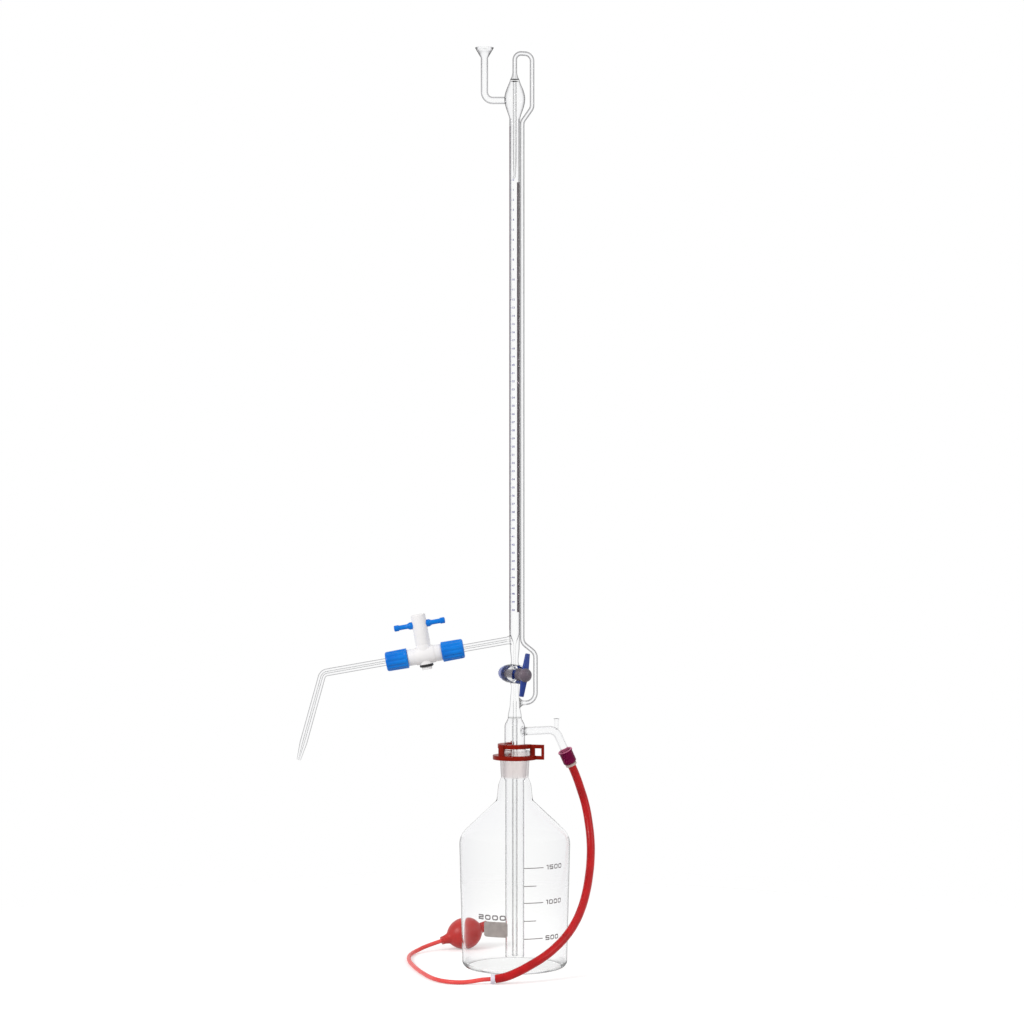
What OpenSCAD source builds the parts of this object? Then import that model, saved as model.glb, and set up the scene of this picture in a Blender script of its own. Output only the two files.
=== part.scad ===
// Automatic zero burette standing on its reservoir bottle, filled with a rubber squeeze bulb.
// Millimetres, +Z up, +X to the right of the scale's front. The origin is the middle of the
// bottle's base, on the bench. The glass is drawn as the sections that the glass worker seals
// together, and each section meets the next one face to face.

/* [Bottle] */
// Outer radius at the top of the straight side
bottle_r = 66.5; // [62:0.5:72]
// Outer radius just above the base corner
base_r = 63; // [58:0.5:66]
// Glass thickness of the side and the shoulder
bottle_wall = 2.5; // [2:0.1:3.5]
// Glass thickness of the floor
floor_t = 4; // [3:0.5:6]
// Rounding of the outer base corner
base_corner = 8; // [5:0.5:12]
// Height at which the shoulder begins
side_h = 147; // [120:1:180]
// Rounding between the side and the shoulder
shoulder_r = 25; // [15:1:30]
// Slope of the shoulder, in degrees above level
shoulder_slope = 43; // [38:1:48]
// Outer radius of the neck above the shoulder
neck_r = 21.5; // [20:0.5:23]
// Rounding between the shoulder and the neck
neck_fillet = 6; // [3:0.5:10]
// Height from the shoulder's upper end to the ground socket
neck_h = 27; // [24:0.5:35]

/* [Ground joint] */
// Large diameter of the standard 1 in 10 ground joint
joint_d = 29.2; // [26:0.1:32]
// Length of the ground zone
joint_len = 32; // [28:1:40]
// Glass thickness of the socket
socket_wall = 3.5; // [2.5:0.1:4.5]
// Glass thickness of the cone
cone_wall = 2.2; // [1.6:0.1:3]
// Running clearance between cone and socket
joint_gap = 0.05; // [0.02:0.01:0.1]

/* [Joint clip] */
// Height of the whole clip
clip_h = 18.4; // [17:0.2:24]
// Thickness of the upper and the lower plate
clip_plate_t = 5; // [3.6:0.2:6]
// Width of the two plates
clip_plate_w = 8; // [6:0.2:10]
// Gap round the glass, so that the clip turns
clip_gap = 0.3; // [0.2:0.1:0.6]
// Half of the angle left open for snapping the clip on
clip_open = 55; // [45:1:65]
// Width of the post opposite the opening
clip_post_w = 8.2; // [6:0.2:12]
// Thickness of the posts and of the bars in the finger tabs
clip_bar = 3; // [2.4:0.2:4]
// Distance from the burette's axis to the ends of the finger tabs
clip_tab_r = 36.5; // [32:0.5:42]
// Direction of the opening, in degrees from +X
clip_yaw = 40; // [-180:1:180]

/* [Burette head] */
// Outer diameter of the head above the joint
head_d = 24.4; // [22:0.2:27]
// Height of the head above the bottle's rim
head_h = 31; // [30:0.1:45]
// Height of the head's sloping shoulder
head_shoulder_h = 9.3; // [7:0.1:12]
// Outer diameter of the seal on top of the head
seal_d = 16.4; // [14:0.2:19]
// Glass thickness of the head
head_wall = 1.6; // [1.2:0.1:2.2]
// Thickness of the glass that closes the head round the dip tube
seal_t = 2; // [1.5:0.1:3]
// Outer diameter of the stem that reaches down into the bottle
stem_d = 22.4; // [20:0.2:23.5]
// Glass thickness of the stem
stem_wall = 1.4; // [1:0.1:2]
// Gap from the stem's open end to the bottle's floor
stem_lift = 8; // [6:0.5:20]
// Outer diameter of the dip tube
dip_d = 6.4; // [5:0.1:8]
// Bore of the dip tube
dip_bore = 4; // [2.5:0.1:4.4]
// Gap from the dip tube's end to the bottle's floor
dip_lift = 9; // [6:0.5:20]

/* [Drain stopcock] */
// Height of the key's axis above the seal
lower_stem_h = 51.8; // [46:0.2:60]
// Height of the burette tube's lower end above the key's axis
upper_stem_h = 50; // [46:0.2:60]
// Outer diameter of the barrel
barrel_d = 22.4; // [20:0.2:25]
// Length of the barrel
barrel_len = 28; // [24:0.5:34]
// Diameter of the key at the barrel's handle end
key_d = 15.6; // [13:0.1:17]
// Taper of the key, length for each unit of diameter
key_taper = 7; // [6:0.5:10]
// Running clearance between key and barrel
key_gap = 0.05; // [0.02:0.01:0.1]
// Bore through the key and the stems
drain_bore = 2.5; // [2:0.1:3.5]
// Diameter of the key's neck
key_neck_d = 12.4; // [11:0.2:14]
// Length of the key's neck
key_neck_len = 7; // [5:0.5:10]
// Diameter of the key's rounded head
key_head_d = 16.4; // [15:0.2:19]
// Length of the key's head
key_head_len = 11; // [9:0.5:14]
// Diameter of the threaded tail that carries the nut
key_tail_d = 7; // [6:0.2:8]
// Length of the drain handle from tip to tip
drain_handle_len = 52; // [40:1:60]
// Width of the drain handle at its middle
drain_handle_w = 7.4; // [6:0.2:9]
// Width of the drain handle at its tips
drain_tip_w = 4.6; // [3.5:0.1:6]
// Thickness of the drain handle along the key
drain_handle_t = 4.6; // [3.5:0.1:6]
// Lean of the drain handle from upright, in degrees
drain_handle_lean = 9.5; // [-90:0.5:90]
// Direction of the key's head, in degrees to the right of the front
drain_yaw = 28; // [0:1:60]
// Thickness of the drain washer
drain_washer_t = 1.2; // [0.8:0.1:2]
// Thickness of the drain O-ring
drain_ring_t = 2; // [1.6:0.1:3]
// Outer diameter of the drain nut's flange
drain_flange_d = 20; // [18:0.2:22]
// Outer diameter of the drain nut's ribbed crown
drain_nut_d = 15.6; // [14:0.2:18]
// Length of the drain nut
drain_nut_len = 11; // [8:0.5:14]

/* [Burette tube] */
// Outer diameter of the burette tube
tube_d = 13.1; // [12:0.1:15]
// Bore above the twelfth graduation
upper_bore = 10.3; // [9:0.1:10.6]
// Bore below the twelfth graduation
lower_bore = 11.3; // [10.7:0.1:11.6]
// Length of the tube
tube_len = 617; // [560:1:700]
// Length below the overflow bulb that has the narrower bore
upper_bore_len = 218; // [180:1:240]
// Width of the reading stripe at the back of the tube
stripe_w = 4.2; // [3:0.2:5]
// Thickness of the reading stripe
stripe_t = 0.25; // [0.2:0.05:0.4]
// Length of the reading stripe
stripe_len = 517; // [400:1:540]
// Height of the reading stripe's lower end above the tube's lower end
stripe_lift = 24; // [10:1:40]
// Direction of the reading stripe, in degrees from +X
stripe_yaw = 46; // [44:1:120]

/* [Overflow bulb] */
// Largest outer diameter of the bulb
bulb_d = 25; // [22:0.5:30]
// Height of the bulb
bulb_h = 46.5; // [42:0.5:56]
// Glass thickness of the bulb
bulb_wall = 1.2; // [1:0.1:1.8]
// Outer diameter of the seal on top of the bulb
bulb_top_d = 11; // [10:0.2:13]
// Outer diameter of the zero nozzle
nozzle_d = 4.3; // [3.8:0.1:5]
// Bore of the zero nozzle
nozzle_bore = 2; // [1.5:0.1:2.4]
// Outer diameter of the zero nozzle's tip
nozzle_tip_d = 2.6; // [2.2:0.1:3.2]
// Length from the bulb's seal down to the nozzle's tip
nozzle_len = 121.5; // [100:0.5:130]

/* [Vent funnel] */
// Outer diameter of the vent tube
vent_d = 8.6; // [7:0.2:10]
// Glass thickness of the vent tube
vent_wall = 1.2; // [1:0.1:1.6]
// Distance of the upright vent tube from the burette's axis
vent_reach = 36.4; // [32:0.2:44]
// Bend of the vent tube, at its middle line
vent_bend = 10; // [8:0.5:14]
// Height of the vent tube above the bulb's lower end
vent_lift = 21.5; // [20:0.5:26]
// Height from the level vent tube to the funnel's rim
vent_rise = 63; // [50:0.5:80]
// Outer diameter of the funnel's rim
funnel_d = 22.6; // [18:0.2:28]
// Height of the funnel
funnel_h = 12; // [9:0.5:16]

/* [Fill tube] */
// Outer diameter of the fill tube
fill_d = 5.4; // [4.8:0.1:6]
// Bore of the fill tube
fill_bore = 3.2; // [2.5:0.1:3.6]
// Gap between the fill tube and the burette tube
fill_gap = 0.3; // [0.2:0.1:0.8]
// Direction of the fill tube, in degrees from +X
fill_yaw = 20; // [12:1:30]
// Distance of the upper leg from the burette's axis
fill_top_reach = 22.2; // [20:0.2:28]
// Height from the bulb's seal to the start of the upper bend
fill_rise = 20.8; // [14:0.2:30]
// Distance of the lower leg from the burette's axis
fill_low_reach = 26.6; // [24:0.2:32]
// Height taken by each of the two cranks
fill_crank_h = 24; // [20:0.5:30]
// Bend where the fill tube turns in to the stem
fill_hook = 12; // [10:0.5:14]
// Height of the branch for the fill tube above the head's seal
branch_lift = 17; // [15:0.5:20]

/* [Delivery arm] */
// Outer diameter of the delivery arm and jet
arm_d = 9; // [8:0.1:10]
// Bore of the delivery arm and jet
arm_bore = 2.6; // [2:0.1:3.4]
// Tilt of the arm below level, in degrees
arm_tilt = 10; // [5:1:15]
// Height of the arm below the tube's lower end
arm_drop = 8.2; // [7:0.2:12]
// Distance along the arm from the burette's axis to the valve
valve_reach = 109.5; // [90:0.5:130]
// Distance along the arm from the valve to the jet's corner
jet_run = 124.5; // [100:0.5:150]
// Length of the jet from its corner to its tip
jet_len = 108; // [80:0.5:130]
// Lean of the jet from upright, in degrees
jet_lean = 15.5; // [8:0.5:25]
// Bend at the jet's corner
jet_bend = 8; // [6:0.5:12]
// Length of the jet's drawn tip
jet_tip_len = 21; // [14:0.5:30]
// Outer diameter at the jet's tip
jet_tip_d = 4.8; // [3.6:0.1:6]
// Bore of the drawn tip
jet_tip_bore = 1; // [0.6:0.1:1.6]

/* [Delivery valve] */
// Outer diameter of the valve's body
valve_d = 21.2; // [19:0.2:24]
// Outer diameter of the body's ends next to the caps
valve_end_d = 19.8; // [18.6:0.2:21]
// Half of the body's thick middle
valve_mid = 11.5; // [10:0.5:14]
// Distance from the valve's axis to a cap
valve_half = 20.7; // [18:0.1:24]
// Diameter of the threaded ends under the caps
valve_thread_d = 17.6; // [16:0.2:18.4]
// Depth of the glass's socket, measured from the valve's axis
valve_stop = 12; // [9:0.5:15]
// Height of the body's top face above its axis
valve_top = 13.4; // [12:0.2:16]
// Diameter of the plug inside the body
plug_d = 12.6; // [11:0.2:14]
// Running clearance between plug and body
plug_gap = 0.05; // [0.02:0.01:0.1]
// Diameter of the plug's stem above the body
plug_stem_d = 17.8; // [16:0.2:19]
// Height of the plug's top above the body's axis
plug_top = 49.6; // [44:0.2:56]
// Height of the cross bar above the body's axis
bar_lift = 37.4; // [32:0.2:42]
// Length of the cross bar from tip to tip
bar_len = 62; // [50:1:70]
// Diameter of the cross bar at its waist
bar_d = 5.8; // [4.8:0.2:7]
// Diameter of the cross bar's flared roots
bar_root_d = 8.8; // [7.4:0.2:10]
// Diameter of the cross bar's knobs
bar_knob_d = 7.4; // [6.2:0.2:9]
// Diameter of the cross bar's rod inside the plug
bar_peg_d = 4; // [3:0.2:5]
// Diameter of the plug's threaded tail
plug_tail_d = 8; // [7:0.2:9]
// Outer diameter of the valve's O-ring
valve_ring_d = 16.4; // [15:0.2:18]
// Thickness of the valve's O-ring
valve_ring_t = 3; // [2.4:0.1:3.6]
// Outer diameter of the valve's nut
valve_nut_d = 12.4; // [11:0.2:14]
// Thickness of the valve's nut
valve_nut_t = 3.4; // [2.6:0.1:5]

/* [Screw caps] */
// Outer diameter of a valve cap at its open end
cap_d = 24.4; // [22:0.2:27]
// Length of a valve cap
cap_len = 26.6; // [24:0.2:32]
// Thickness of a valve cap's end wall
cap_end_t = 3.5; // [2.5:0.1:5]
// Thickness of a valve cap's seal
cap_seal_t = 4; // [3:0.1:5]
// Clearance of a cap over its thread
thread_gap = 0.3; // [0.2:0.05:0.5]
// Clearance of a seal or a cap round the tube that it holds
grip_gap = 0.05; // [0.02:0.01:0.1]
// Flutes round a valve cap
cap_flutes = 16; // [10:1:24]

/* [Pressure port] */
// Outer diameter of the pressure arm
port_d = 9.8; // [8.6:0.2:11]
// Glass thickness of the pressure arm
port_wall = 1.3; // [1:0.1:1.8]
// Direction of the pressure arm, in degrees from +X towards the back
port_yaw = 30; // [20:1:45]
// Height of the pressure arm above the bottle's rim
port_lift = 22.9; // [21:0.1:25]
// Level run of the pressure arm from the burette's axis to its bend
port_run = 47.5; // [42:0.5:60]
// Bend of the pressure arm
port_bend = 16; // [12:0.5:22]
// Angle of the pressure arm's lower end below level, in degrees
port_dip = 63; // [50:1:75]
// Length from the bend to the pressure cap
port_neck = 19; // [16:0.5:26]
// Diameter of the threaded glass end
port_thread_d = 13.6; // [12.4:0.2:14]
// Outer diameter of the finger vent
finger_vent_d = 5.6; // [5:0.2:7]
// Outer diameter of the finger vent's lip
finger_lip_d = 7.6; // [7:0.2:9]
// Height of the finger vent above the arm's middle line
finger_vent_h = 13.5; // [10:0.5:20]
// Diameter of the pressure cap's rim
port_cap_d = 18; // [17:0.2:21]
// Length of the pressure cap
port_cap_len = 16.5; // [14.5:0.5:20]
// Thickness of the pressure cap's end wall
port_cap_end_t = 2.2; // [1.6:0.1:3]
// Thickness of the pressure seal
port_seal_t = 3.4; // [2.4:0.1:4]
// Gap between the pressure cap and the hose nozzle's collar
collar_gap = 1; // [0.8:0.1:2]
// Outer diameter of the hose nozzle
hose_nozzle_d = 6; // [5:0.1:6.6]
// Bore of the hose nozzle
hose_nozzle_bore = 3; // [2:0.1:3.6]
// Outer diameter of the hose nozzle's collar
collar_d = 14; // [12:0.2:16]
// Thickness of the hose nozzle's collar
collar_t = 3; // [2:0.1:4]

/* [Hose and squeeze bulb] */
// Outer diameter of the pressure hose
hose_d = 10; // [9:0.1:11]
// Outer diameter of the thin tube to the squeeze bulb
thin_d = 5; // [4.6:0.1:5.6]
// Diameter of the joiner's collar
joiner_d = 11; // [10.4:0.2:11.4]
// Length of the joiner's collar
joiner_len = 5; // [3:0.5:6]
// Length of the squeeze bulb's round body
squeeze_len = 43; // [38:0.5:50]
// Diameter of the squeeze bulb
squeeze_d = 38; // [32:0.5:38.4]
// Rubber thickness of the squeeze bulb
squeeze_wall = 2.4; // [1.8:0.1:3.5]
// Outer diameter of the squeeze bulb's neck
squeeze_neck_d = 10; // [9:0.2:12]
// Outer diameter of the squeeze bulb's inlet end
squeeze_inlet_d = 13; // [11.6:0.2:15]
// Half of the squeeze bulb's whole length
squeeze_half = 31; // [29:0.5:36]
// Diameter of the ball in the inlet valve
ball_d = 4; // [3:0.1:4.4]
// Travel of the ball in the inlet valve
ball_travel = 1.2; // [0.8:0.1:2]

/* [Hidden] */

// Roundness of turned and blown shapes, and a small overshoot for clean cuts
$fn = 96;
cut = 0.5;

// Straight lengths of bent tubes run on into each bend and fade out inside its slightly thinner wall
lap = 0.15;
fade_len = 0.5;
fade = 0.25;
seam = 0.08;
crank_straight = 2;

// How far an end stops short of the face that is clamped past it
step_back = 0.5;

// Colours of the materials
glass = [0.82, 0.9, 0.92, 0.45];
frosted = [0.6, 0.58, 0.62];
ptfe = [0.94, 0.93, 0.94];
blue = [0.05, 0.42, 0.85];
navy = [0.12, 0.22, 0.5];
brick = [0.55, 0.1, 0.06];
plum = [0.45, 0.05, 0.25];
rubber = [0.75, 0.22, 0.22];
beige = [0.85, 0.8, 0.72];
black = [0.08, 0.08, 0.08];

// Heights of the bottle, from its shoulder to its rim
shoulder_turn = 90 - shoulder_slope;
shoulder_end_r = bottle_r - shoulder_r * (1 - cos(shoulder_turn));
shoulder_end_z = side_h + shoulder_r * sin(shoulder_turn);
neck_z = round(10 * (shoulder_end_z + (shoulder_end_r - neck_r) * tan(shoulder_slope))) / 10;
joint_z = neck_z + neck_h;
rim_z = joint_z + joint_len;
joint_taper = 10;
joint_top_r = joint_d / 2;
joint_low_r = joint_top_r - joint_len / joint_taper / 2;
neck_draw = 1.8;
neck_close_h = 8.5;

// The clip's upper plate sits just above the step from the cone to the head
cone_step_h = 3.1;
clip_z = rim_z + cone_step_h + clip_gap + clip_plate_t - clip_h;

// Heights of the burette, each standing on the one before
head_top_z = rim_z + head_h;
seal_z = head_top_z + head_shoulder_h;
drain_z = seal_z + lower_stem_h;
tube_z = drain_z + upper_stem_h;
tube_top_z = tube_z + tube_len;
bulb_top_z = tube_top_z + bulb_h;
arm_z = tube_z - arm_drop;
branch_z = seal_z + branch_lift;
port_z = rim_z + port_lift;
clip_post_out = 0.9;
clip_lip = 0.4;
clip_bar_inset = 0.3;
vent_z = tube_top_z + vent_lift;
stem_waist_r = 4.3;
stem_foot_r = 5.7;
stem_flare_h = 4;
nozzle_bend = 4;
nozzle_turn = 60;
nozzle_tip_wall = 0.7;

// Stations along the drain key, from the burette's axis towards the handle
barrel_front = barrel_len / 2;
barrel_back = -barrel_len / 2;
key_neck_s = barrel_front + step_back;
key_head_s = key_neck_s + key_neck_len;
key_top_s = key_head_s + key_head_len;
drain_handle_inset = 1;
drain_handle_s = key_head_s + drain_handle_t / 2 + drain_handle_inset;
drain_washer_s = barrel_back - key_gap;
drain_ring_s = drain_washer_s - drain_washer_t;
drain_nut_s = drain_ring_s - drain_ring_t;
drain_nut_end_t = 2;
drain_tail_s = drain_nut_s - drain_nut_len + drain_nut_end_t;
key_back_d = key_d - barrel_len / key_taper;
key_round = 4;
key_neck_fall = 1;
nut_flange_t = 2.6;
nut_ribs = 18;
rib_groove_r = 0.9;
rib_groove_out = 0.3;
rib_groove_end = 0.8;
oring_swell = 1.15;

// Stations of the valve's caps, measured from the valve's axis along the arm
cap_end_s = valve_half + cap_len;
cap_wall_s = cap_end_s - cap_end_t;
thread_end_s = cap_wall_s - cap_seal_t;
valve_foot = 0.4;
valve_ring_z = -valve_d / 2 - valve_foot;
valve_nut_z = valve_ring_z - valve_ring_t;
plug_round = 1.5;
bar_round = 1.4;
bar_knob_len = 5.5;
bar_knob_step = 1;
bar_root_len = 3;
cap_draft = 0.5;
cap_round = 2;
flute_r = 1.1;
flute_out = 0.5;
flute_start = 2;

// Stations of the pressure port, measured down its sloping end from the bend
port_thread_start = port_neck + step_back;
port_wall_s = port_neck + port_cap_len - port_cap_end_t;
port_thread_end = port_wall_s - port_seal_t;
collar_s = port_neck + port_cap_len + collar_gap;
hose_s = collar_s + collar_t;
barb_len = 12;
port_rim_t = 1.6;
finger_set_back = 20;
finger_turn = port_dip - finger_set_back;
port_rim_step = 0.8;

// Fill tube, in its own upright plane
fill_reach = (tube_d + fill_d) / 2 + fill_gap;
fill_bend = fill_top_reach / 2;
fill_crank_rise = 17;
fill_low_drop = 7;
fill_crank_top = tube_top_z + fill_crank_rise;
fill_low_top = tube_z - fill_low_drop;
branch_reach = 11;
fill_flare_h = 8;

// Route of the pressure hose, from the nozzle's collar to the joiner on the bench
hose_points = [
    [69, 39.8, 237.8], [74, 43, 226], [80, 45, 209], [86, 44.5, 189], [90, 40, 167], [92, 31, 146],
    [91.5, 17, 126], [89, 0, 108], [85, -18, 91], [79, -37, 75], [71, -55, 61], [61, -71, 49],
    [49, -85, 38.5], [35, -97, 29], [19, -106, 20.5], [3, -112, 13], [-11, -115, 8], [-23, -115.5, 5.7]
];

// Route of the thin tube, from the joiner along the bench and into the squeeze bulb's neck
thin_points = [
    [-28, -115.5, 5.7], [-38, -116, 5], [-50, -118, 3.4], [-61, -119, 2.6], [-72, -117.5, 2.6],
    [-82, -111.5, 2.6], [-91, -101, 2.6], [-99, -85, 2.6], [-107, -63, 2.6], [-114.5, -38, 2.6],
    [-121.5, -9, 2.6], [-127, 21, 2.6], [-129, 50, 2.6], [-126.5, 75, 2.6], [-120, 93, 3.6],
    [-110.5, 105, 6.2], [-100, 111, 9.2], [-90.7, 114.6, 11.8], [-85.3, 116.9, 13.2]
];
joiner_at = [-23, -115.5, 5.7];
squeeze_at = [-63, 126, 19.4];
squeeze_yaw = 22.5;
squeeze_pitch = 14;
hose_sides = 12;
insert_d = 9;
insert_s = 19.5;
insert_lip = 2.5;

// Shapes that several pieces share

function unit(v) = v / norm(v);

function arc_points(centre, r, from, to, steps = 10) =
    [for (i = [0 : steps]) centre + r * [cos(from + (to - from) * i / steps), sin(from + (to - from) * i / steps)]];

// Half section of the bottle: the outer face with no inset, or the hollow with the wall as inset
function bottle_points(inset, floor_z, lip) =
    let (
        reach = shoulder_r - inset,
        end_r = bottle_r - shoulder_r + reach * cos(shoulder_turn),
        end_z = side_h + reach * sin(shoulder_turn),
        throat_r = neck_r - inset,
        throat_z = end_z + (end_r - throat_r) * tan(shoulder_slope),
        fillet = neck_fillet + inset,
        run = fillet * tan(shoulder_turn / 2)
    ) concat(
        [[0, floor_z]],
        arc_points([base_r - base_corner, floor_z + base_corner - inset], base_corner - inset, -90, 0),
        arc_points([bottle_r - shoulder_r, side_h], reach, 0, shoulder_turn),
        arc_points([throat_r + fillet, throat_z + run], fillet, 180 + shoulder_turn, 180, 6),
        [
            [throat_r - neck_draw, joint_z - neck_close_h],
            [joint_low_r + lip, joint_z],
            [joint_top_r + lip, rim_z],
            [0, rim_z]
        ]
    );

// Half section of the overflow bulb, with the wall's thickness as inset for the hollow
function bulb_points(inset, low_r, top_r) =
    let (
        belly = bulb_d / 2 - inset,
        steps = 14
    ) concat(
        [[0, tube_top_z]],
        [for (i = [0 : steps])
            let (
                f = i / steps,
                end_r = f < 0.5 ? low_r : top_r
            ) [end_r + (belly - end_r) * pow(sin(180 * f), 1.3), tube_top_z + bulb_h * f]],
        [[0, bulb_top_z]]
    );

// Turns +Z to run from one point towards another
module along(from, to) {
    v = to - from;
    translate(from) rotate([0, acos(v.z / norm(v)), atan2(v.y, v.x)]) children();
}

module rod(from, to, r) {
    along(from, to) cylinder(h = norm(to - from), r = r);
}

// Half section of a straight tube, whose ends are cut square or fade out inside a bend
function pipe_points(h, d, bore, fade_start, fade_end) =
    let (outer = d / 2, inner = bore / 2) concat(
        fade_start
            ? [[inner, -lap], [inner + fade, -lap - fade_len], [outer - fade, -lap - fade_len], [outer, -lap]]
            : [[inner, 0], [outer, 0]],
        fade_end
            ? [[outer, h + lap], [outer - fade, h + lap + fade_len], [inner + fade, h + lap + fade_len], [inner, h + lap]]
            : [[outer, h], [inner, h]]
    );

module pipe(from, to, d, bore, fade_start = true, fade_end = true) {
    along(from, to) rotate_extrude() polygon(pipe_points(norm(to - from), d, bore, fade_start, fade_end));
}

// A straight tube out of a bend, which changes to another size over its last part
module drawn_pipe(from, to, d, bore, change_len, end_d, end_bore) {
    h = norm(to - from);
    outline = pipe_points(h - change_len, d, bore, true, false);
    along(from, to) rotate_extrude() polygon(concat(
        [for (i = [0 : 4]) outline[i]],
        [[end_d / 2, h], [end_bore / 2, h]],
        [outline[5]]
    ));
}

module tube(h, d, bore) {
    difference() {
        cylinder(h = h, d = d);
        translate([0, 0, -cut]) cylinder(h = h + 2 * cut, d = bore);
    }
}

// A solid bend in the XY plane, from one angle to another about its centre
module elbow(centre, bend, from, to, d) {
    translate(centre) rotate([0, 0, from]) rotate_extrude(angle = to - from)
        translate([bend, 0]) circle(d = d);
}

// A bent length of tube, its wall a hair thinner than that of the straight lengths it meets
module bent_pipe(centre, bend, from, to, d, bore) {
    translate(centre) rotate([0, 0, from]) rotate_extrude(angle = to - from)
        translate([bend, 0]) difference() {
            circle(d = d - 2 * seam);
            circle(d = bore + 2 * seam);
        }
}

// Two equal bends with a short straight between them, which step a downward tube sideways
module crank(from, to, d, bore) {
    shift = abs(to.x - from.x);
    drop = from.y - to.y;
    turn = 2 * atan(shift / (drop + crank_straight));
    bend = (drop * sin(turn) - shift * cos(turn)) / (2 * (1 - cos(turn)));
    side = to.x > from.x ? 1 : -1;
    mid = [from.x + side * bend * (1 - cos(turn)), from.y - bend * sin(turn), 0];
    first = side > 0 ? 180 : -turn;
    last = side > 0 ? 0 : 180 - turn;
    bent_pipe([from.x + side * bend, from.y, 0], bend, first, first + turn, d, bore);
    pipe(mid, mid + crank_straight * [side * sin(turn), -cos(turn), 0], d, bore);
    bent_pipe([to.x - side * bend, to.y, 0], bend, last, last + turn, d, bore);
}

// Upright plane through the burette's axis: X runs outwards, Y runs up
module in_plane(yaw) {
    rotate([0, 0, yaw]) rotate([90, 0, 0]) children();
}

// Along the delivery arm: +Z runs down the arm, +X stands square to it
module on_arm(s = 0) {
    translate([0, 0, arm_z]) rotate([0, -90 - arm_tilt, 0]) translate([0, 0, s]) children();
}

// At the valve: +Z up the plug, +X towards the burette
module on_valve() {
    on_arm(valve_reach) rotate([0, 90, 0]) children();
}

// Along the drain key: +Z out to the handle, +Y up
module on_drain() {
    translate([0, 0, drain_z]) rotate([90, 0, drain_yaw]) children();
}

// A point down the sloping end of the pressure arm, in the arm's own plane
function port_point(s) = [
    port_run + port_bend * sin(port_dip) + s * cos(port_dip),
    port_z - port_bend * (1 - cos(port_dip)) - s * sin(port_dip),
    0
];

// Down the sloping end of the pressure arm: +Z runs away from its bend
module on_port(s = 0) {
    in_plane(port_yaw) translate(port_point(s)) rotate([0, 90, -port_dip]) children();
}

// Along the squeeze bulb, from its neck towards its inlet
module on_squeeze(s = 0) {
    translate(squeeze_at) rotate([0, 90 - squeeze_pitch, squeeze_yaw]) translate([0, 0, s]) children();
}

// A round cord swept along its points, each ring square to the route
module sweep(points, d, sides) {
    last = len(points) - 1;
    along = [for (i = [0 : last]) unit(points[min(i + 1, last)] - points[max(i - 1, 0)])];
    across = [
        for (i = 0, n = unit(cross(along[0], [0, 1, 0])); i <= last;
            i = i + 1, n = i <= last ? unit(n - along[i] * (n * along[i])) : n) n
    ];
    rings = [
        for (i = [0 : last]) for (k = [0 : sides - 1])
            points[i] + d / 2 * (across[i] * cos(360 * k / sides)
                + cross(along[i], across[i]) * sin(360 * k / sides))
    ];
    walls = [
        for (i = [0 : last - 1]) for (k = [0 : sides - 1])
            let (a = i * sides + k, b = i * sides + (k + 1) % sides)
            each [[a, a + sides, b], [b, a + sides, b + sides]]
    ];
    start_cap = [for (k = [1 : sides - 2]) [0, k, k + 1]];
    end_cap = [for (k = [1 : sides - 2]) [0, k + 1, k] + last * sides * [1, 1, 1]];
    polyhedron(points = rings, faces = concat(walls, start_cap, end_cap));
}

// Reservoir bottle and the clip that holds its ground joint

module reservoir_bottle() {
    color(glass) rotate_extrude() difference() {
        polygon(bottle_points(0, 0, socket_wall));
        polygon(bottle_points(bottle_wall, floor_t, 0));
    }
}

// One plate of the clip with its opening towards +X, and the two bars that run out into its tabs
module clip_plate(inner_r, t) {
    outer_r = inner_r + clip_plate_w;
    wedge = 2 * clip_tab_r;
    linear_extrude(t) difference() {
        circle(outer_r);
        circle(inner_r);
        polygon([[0, 0], wedge * [cos(clip_open), -sin(clip_open)], wedge * [cos(clip_open), sin(clip_open)]]);
    }
    clip_ends(inner_r + clip_plate_w / 2, clip_tab_r, clip_bar_inset, t - clip_bar_inset);
}

// A pair of upright blocks, one along each end of the opening
module clip_ends(from_r, to_r, from_z, to_z) {
    for (side = [-1, 1])
        rotate([0, 0, side * clip_open])
            translate([from_r, side > 0 ? -clip_lip : clip_lip - clip_bar, from_z])
                cube([to_r - from_r, clip_bar, to_z - from_z]);
}

module joint_clip() {
    low_r = joint_top_r + socket_wall + clip_gap;
    high_r = head_d / 2 + clip_gap;
    post_r = low_r + clip_post_out;
    post_low_z = 2 * clip_bar_inset;
    post_high_z = clip_h - 2 * clip_bar_inset;
    color(brick) translate([0, 0, clip_z]) rotate([0, 0, clip_yaw]) {
        clip_plate(low_r, clip_plate_t);
        translate([0, 0, clip_h - clip_plate_t]) clip_plate(high_r, clip_plate_t);
        translate([-post_r - clip_bar, -clip_post_w / 2, post_low_z])
            cube([clip_bar, clip_post_w, post_high_z - post_low_z]);
        clip_ends(post_r, post_r + 2 * clip_bar, post_low_z, post_high_z);
        clip_ends(clip_tab_r - clip_bar, clip_tab_r, post_low_z, post_high_z);
    }
}

// Fixed glass of the burette, from the stem in the bottle up to the funnel

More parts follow.
